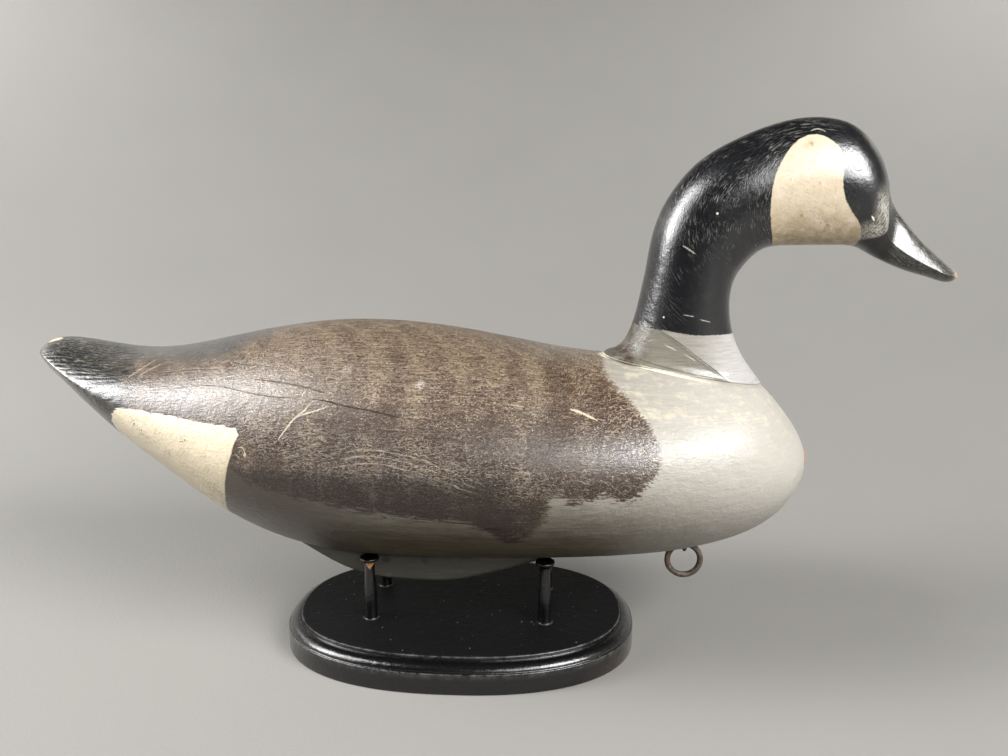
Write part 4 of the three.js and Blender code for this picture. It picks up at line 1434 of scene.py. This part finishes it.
def rustedIron():
    # Hand-forged iron wire, dark with old rust: dull and pitted, with grey-brown patches
    look = {
        "iron": "#403C37",
        "rust": "#675648",
        "pale": "#A1978A",
        "blots": {"pits": (1.4, 4, 0.7), "patches": (5, 3, 0.5)},
        "shares": {"rusty": ("patches", 0.42, 0.62, 0, 1), "rubbed": ("pits", 0.58, 0.7, 0, 0.6)},
        "pitHeight": 0.3,  # mm
        "shine": 0.55,
    }
    material, add, _, inks, at = newMaterial("rustedWroughtIron", look)
    paint = coated(add, inks["iron"], (at["rusty"], inks["rust"]), (at["rubbed"], inks["pale"]))
    relief = add("Math", {0: at["pits"], 1: look["pitHeight"]}, **times)
    finishMaterial(add, paint, relief, look["shine"], Metallic=0.5)
    return material


iron = rustedIron()
dress(makeRing(), "line_ring", iron)
dress(makeStaple(), "staple", iron)

plaqueLook = {
    "length": 252,
    "width": 177,
    "thickness": 22,
    "side": 14.6,  # mm, the height of its upright side
    "moulding": 9.6,  # mm, how wide the moulded edge is
    "step": 2.4,  # mm, from the groove up to the top
    "ovalPower": 2.34,  # 2 would be an ellipse
    "sides": 320,
    "underRound": 0.8,  # mm, the rounded edges: under the side, on top of it, and of the top step
    "sideRound": 0.5,
    "topRound": 0.6,
    "quarterReach": 0.8,  # the quarter round's share of the moulding
    "quarterWide": 0.86,
    "quarterPower": 1.1,
    "grooveShares": (0.9, 0.93, 0.955, 0.96, 0.965),  # of the moulding's inset
}


def arc(middle, radius, start, end, count):
    # points of a rounded edge as inset and height; angles in degrees from straight out
    turns = np.radians(np.linspace(start, end, count))
    return [(middle[0] - radius * math.cos(a), middle[1] + radius * math.sin(a)) for a in turns]


def makePlaque():
    look = plaqueLook
    side, top, inset = look["side"], look["thickness"], look["moulding"]
    foot = top - look["step"]
    under, upper, last = look["underRound"], look["sideRound"], look["topRound"]
    slope, dip, rise, wall, step = (inset * portion for portion in look["grooveShares"])
    # inset and height, from the underside up: side, arris, quarter round, groove, step and top
    profile = [(20, 0), (1.2, 0), *arc((under, under), under, -80, 0, 6), (0, 5), (0, 10)]
    profile += arc((upper, side - 0.55), upper, 0, 90, 7)
    profile += [(0.8, side), (1.0, side + 0.1)]
    reach, height = inset * look["quarterReach"], foot - side - 0.2
    for a in np.linspace(0.08, math.pi / 2, 14):
        across = reach * (1 - math.cos(a)) * look["quarterWide"]
        profile.append((1.25 + across, side + 0.15 + height * math.sin(a) ** look["quarterPower"]))
    profile += [(slope, foot - 0.1), (dip, foot - 0.45), (rise, foot - 0.3)]
    profile += [(wall, foot + 0.3), (step, top - 0.7)]
    profile += arc((step + last, top - last), last, 0, 90, 7)
    profile += [(step + 1.4, top - 0.02), (inset + 3, top), (inset + 30, top)]
    profile = np.array(profile)
    # the rubbed corners: inset, height and how far the wear spreads
    corners = [(0.15, side - 0.15, 0.7), (step + 0.18, top - 0.18, 0.8), (0.1, 0.2, 0.6)]
    worn = np.zeros(len(profile))
    for cornerInset, cornerHeight, spread in corners:
        away = np.hypot(profile[:, 0] - cornerInset, profile[:, 1] - cornerHeight)
        worn = np.maximum(worn, 1 - smoothStep(0.1, spread, away))
    turn = np.linspace(0, 2 * math.pi, look["sides"], endpoint=False)
    c, s, power = np.cos(turn), np.sin(turn), 2 / look["ovalPower"]
    wide = look["length"] / 2 - profile[:, :1]
    deep = look["width"] / 2 - profile[:, :1]
    points = np.stack([wide * np.sign(c) * np.abs(c) ** power, deep * np.sign(s) * np.abs(s) ** power,
                       profile[:, 1:] + 0 * turn], -1)
    fields = {"worn": worn[:, None] + 0 * turn[None, :]}
    return makeForm("plaque_board", points, fields, startPoint=False, endPoint=False)


pegLook = {
    "spacingX": 124,  # mm
    "spacingY": 54,
    "headRadius": 6.9,
    "topRadius": 6.1,
    "headThickness": 2.4,
    "neckRadius": 3.6,
    "footRadius": 4.9,
    "sides": 72,
    "chipped": "peg_back_right",  # its paint is knocked off under the head
    "chipPoint": 6.5,  # mm, how far the chip's lower point is below the head's rim
    "chipHeight": 5.2,
    "chipSlope": 0.7,
    "chipAside": 0.6,
    "chipRagged": 0.35,
    "chipRaggedSize": 1.6,
    "chipEdge": 0.8,
    "chipDepth": 0.45,
}


def makePeg(node):
    look = pegLook
    low, high = boxOf(node)
    middle = (low + high) / 2
    base, stand = plaqueLook["thickness"], high[2] - plaqueLook["thickness"]
    foot, neck, head = look["footRadius"], look["neckRadius"], look["headRadius"]
    thick = look["headThickness"]
    rim = stand - thick
    # radius and height: a fillet of paint, the tapering shank, the flaring head and its dished top
    knots = [(foot + 0.9, 0.02), (foot + 0.25, 0.35), (foot, 1.2), (foot * 0.97, stand * 0.25),
             (neck * 1.12, stand * 0.6), (neck, stand * 0.8), (neck * 1.06, rim - 3.2),
             (neck * 1.3, rim - 1.1), (head * 0.93, rim), (head, rim + thick * 0.35)]
    profile = [(0, 0.02)] + throughPoints(knots, step=0.5)
    profile += [(head, rim + thick * 0.62), (head - 0.15, stand - 0.55), (head - 0.5, stand - 0.15),
                (look["topRadius"] - 0.2, stand), (look["topRadius"] - 1, stand - 0.1), (0.8, stand - 0.35),
                (0, stand - 0.35)]
    points = lathe(profile, look["sides"])
    x, y, h = points[..., 0], points[..., 1], points[..., 2]
    noChip = -9.0
    chip = np.full(x.shape, noChip)
    if node == look["chipped"]:
        # a three-cornered chip, its point down, on the side towards the camera
        level = h - (rim - look["chipPoint"])
        fromSides = level * look["chipSlope"] - np.abs(x - look["chipAside"])
        chip = np.minimum(fromSides, look["chipHeight"] - level)
        chip = np.where(y < 0, chip, noChip)
        chip = chip + look["chipRagged"] * softNoise(points, look["chipRaggedSize"], 13)
        inward = smoothStep(0, look["chipEdge"], chip)[..., None] * look["chipDepth"]
        points = points * (1 - inward * [1, 1, 0] / np.maximum(np.hypot(x, y), 1)[..., None])
    points = points + [middle[0], middle[1], base]
    return makeForm(node + "_turned", points, {"chip": chip, "worn": 0 * chip})


def blackLacquer(name, roughest, glossiest):
    # Black lacquer brushed on pine: the grain shows through it, dust lies in the corners and
    # rubbed edges catch the light. The flat board is duller than what was turned.
    look = {
        "black": "#040405",
        "soft": "#09090A",
        "worn": "#5F5C58",
        "brown": "#3A2B21",
        "dust": "#8D897F",
        "bareWood": "#A3764C",
        "brushes": {"grain": {"width": 1.3, "reach": 45}},
        "blots": {"patches": (30, 4, 0.6), "mottle": (6, 4, 0.7), "speckle": (1.5, 2, 0.5)},
        "shares": {
            "brownEnd": ("x", 85, 125, 0, 1.4),
            "brownLow": ("z", 13, 3, 0, 1),
            "rubbed": ("mottle", 0.4, 0.62, 0.05, 0.7),
            "fromTop": ("z", 21.6, 21.9, 0, 1),
            "toTop": ("z", 22.3, 22.6, 1, 0),
            "dustPatches": ("patches", 0.44, 0.56, 0, 1),
            "chipped": ("chip", 0, 0.4, 0, 1),
        },
        "speckSpacing": 6,  # mm
        "specks": (0.05, 0.09, 0.85, 0),
        "dustRing": (6.4, 7.2, 0.15, 0),  # mm from a peg's middle
        "dustRagged": 2,
        "heights": {"grain": 0.14, "mottle": 0.5, "worn": -0.1},
        "shineWander": 0.25,
    }
    material, add, place, inks, at = newMaterial(name, look, ("worn", "chip"))
    brown = joined(add, times, at["brownEnd"], at["brownLow"], at["mottle"])
    worn = add("Math", {0: at["worn"], 1: at["rubbed"]}, **times)

    # specks of dust lie on the top, and a thin ring of it round each peg
    onTop = add("Math", {0: at["fromTop"], 1: at["toTop"]}, **times)
    cells = {"Vector": place, "Scale": 1 / look["speckSpacing"], "Randomness": 1}
    specks = add("TexVoronoi", cells, out="Distance")
    specks = add("MapRange", {0: specks, **between(*look["specks"])})
    specks = add("Math", {0: specks, 1: at["dustPatches"]}, **times)
    pegPlace = (-pegLook["spacingX"] / 2, -pegLook["spacingY"] / 2, -plaqueLook["thickness"])
    folded = add("VectorMath", {0: add("VectorMath", {0: place}, **without), 1: pegPlace}, **plus)
    fromPeg = add("VectorMath", {0: folded}, out="Value", operation="LENGTH")
    fromPeg = heaped(add, fromPeg, (at["speckle"], look["dustRagged"]))
    dustRing = add("MapRange", {0: fromPeg, **between(*look["dustRing"])})
    dust = add("Math", {0: add("Math", {0: specks, 1: dustRing}, **larger), 1: onTop}, **times)
    paint = coated(add, inks["black"], (at["patches"], inks["soft"]), (brown, inks["brown"]),
                   (worn, inks["worn"]), (dust, inks["dust"]), (at["chipped"], inks["bareWood"]))

    high = look["heights"]
    relief = add("Math", {0: at["mottle"], 1: high["mottle"]}, **times)
    relief = heaped(add, relief, (at["grain"], high["grain"]), (worn, high["worn"]))
    dull = add("Math", {0: onTop, 1: roughest - glossiest, 2: glossiest}, **timesPlus)
    wander = add("Math", {0: at["speckle"], 1: -noiseMiddle}, **plus)
    shine = heaped(add, dull, (wander, look["shineWander"]))
    coat = add("Math", {0: 1, 1: onTop}, **minus)
    finishMaterial(add, paint, relief, shine, IOR=1.25, Coat_Weight=coat, Coat_Roughness=0.2)
    return material


boardLacquer = blackLacquer("brushedBlackLacquer", roughest=0.62, glossiest=0.24)
pegLacquer = blackLacquer("turnedBlackLacquer", roughest=0.22, glossiest=0.22)
dress(makePlaque(), "plaque", boardLacquer)
for pegNode in ("peg_front_right", "peg_front_left", "peg_back_right", "peg_back_left"):
    dress(makePeg(pegNode), pegNode, pegLacquer)

studioLook = {
    "paper": "#817F7B",
    "paperRadius": 2600,  # mm, the paper rises in one wide sweep on all sides
    "bend": 2350,
    "bendSteps": 48,
    "middle": 100,  # the paper's flat middle has a ring of points at this radius
    "sides": 128,
    "paintedShadeBehindCamera": "#141313",  # painted shade on the paper behind the camera, so that glossy black stays black
    "blots": {"mottle": (220, 2, 0.5), "fibres": (2, 2, 0.5)},
    "shares": {"behind": ("y", -550, -1000, 0, 1, "soft")},
    "darker": 0.94,  # the paper's darker blots
    "fibreHeight": 0.2,  # mm
    "shine": 0.9,
    "ambient": "#C9CCD0",
    "ambientStrength": 0.06,
}
gooseMiddle = (20, 0, 190)
lightLooks = {
    # Azimuth from the camera's side towards the goose's bill, elevation, distance and size in mm,
    # and watts. They shine at the goose's middle, or at another place on the paper. The last one
    # is gridded: it fans out by spread degrees.
    "windowLeft": {"azimuth": -76, "elevation": 29, "distance": 1500, "size": (1250, 950), "power": 20},
    "leftPane": {"azimuth": -78, "elevation": 28, "distance": 1480, "size": (450, 900), "power": 16},
    "leftHigh": {"azimuth": -70, "elevation": 50, "distance": 1500, "size": (900, 240), "power": 9},
    "windowRight": {"azimuth": 38, "elevation": 27, "distance": 1900, "size": (1900, 1300), "power": 41},
    "rightPane": {"azimuth": 50, "elevation": 31, "distance": 1850, "size": (1050, 850), "power": 44},
    "paperLeft": {"azimuth": -10, "elevation": 25, "distance": 1200, "size": (900, 900), "power": 44,
                  "aim": (-1600, 1900, 900)},
    "paperRight": {"azimuth": 45, "elevation": 36, "distance": 950, "size": (500, 500), "power": 18,
                   "aim": (1350, 1550, 1050), "spread": 115},
}
# place in mm, angles in degrees
cameraLook = {"place": (66.14, -584.79, 309.25), "tilt": 78.71, "turn": 3.38, "lens": 30.36, "sensor": 36}


def makeStudio():
    look = studioLook
    bend, radius = look["bend"], look["paperRadius"]
    profile = [(0, 0), (look["middle"], 0)]
    for a in np.linspace(0, math.pi / 2, look["bendSteps"]):
        profile.append((radius - bend + bend * math.sin(a), bend * (1 - math.cos(a))))
    points = lathe(profile, look["sides"])
    rings, sides = points.shape[:2]
    floor = makeMesh("paper_sweep", points.reshape(-1, 3), gridFaces(rings, sides))
    material, add, _, inks, at = newMaterial("matteBackgroundPaper", look)
    darker = tuple(look["darker"] * c for c in inks["paper"][:3]) + (1,)
    # the paper behind the camera is painted dark, as painted shade
    paint = coated(add, inks["paper"], (at["mottle"], darker), (at["behind"], inks["paintedShadeBehindCamera"]))
    relief = add("Math", {0: at["fibres"], 1: look["fibreHeight"]}, **times)
    finishMaterial(add, paint, relief, look["shine"])
    floor.data.materials.append(material)


def lightStudio():
    world = bpy.data.worlds.new("studio")
    world.use_nodes = True
    background = world.node_tree.nodes["Background"]
    background.inputs["Color"].default_value = colour(studioLook["ambient"])
    background.inputs["Strength"].default_value = studioLook["ambientStrength"]
    bpy.context.scene.world = world
    for name, look in lightLooks.items():
        data = bpy.data.lights.new(name, "AREA")
        data.shape = "ELLIPSE"
        data.size, data.size_y = (s * metres for s in look["size"])
        data.energy = look["power"]
        data.spread = math.radians(look.get("spread", 180))
        light = bpy.data.objects.new(name, data)
        bpy.context.scene.collection.objects.link(light)
        a, e = math.radians(look["azimuth"]), math.radians(look["elevation"])
        out = Vector((math.sin(a) * math.cos(e), -math.cos(a) * math.cos(e), math.sin(e)))
        light.location = (Vector(look.get("aim", gooseMiddle)) + out * look["distance"]) * metres
        light.rotation_euler = (-out).to_track_quat("-Z", "Y").to_euler()
        light.visible_camera = False


def placeCamera():
    look = cameraLook
    data = bpy.data.cameras.new("photo_camera")
    data.lens = look["lens"]
    data.sensor_width = look["sensor"]
    camera = bpy.data.objects.new("photo_camera", data)
    bpy.context.scene.collection.objects.link(camera)
    camera.location = Vector(look["place"]) * metres
    camera.rotation_euler = (math.radians(look["tilt"]), 0, math.radians(look["turn"]))
    bpy.context.scene.camera = camera


makeStudio()
lightStudio()
placeCamera()
bpy.context.scene.view_settings.view_transform = "Standard"
print("studio ready")
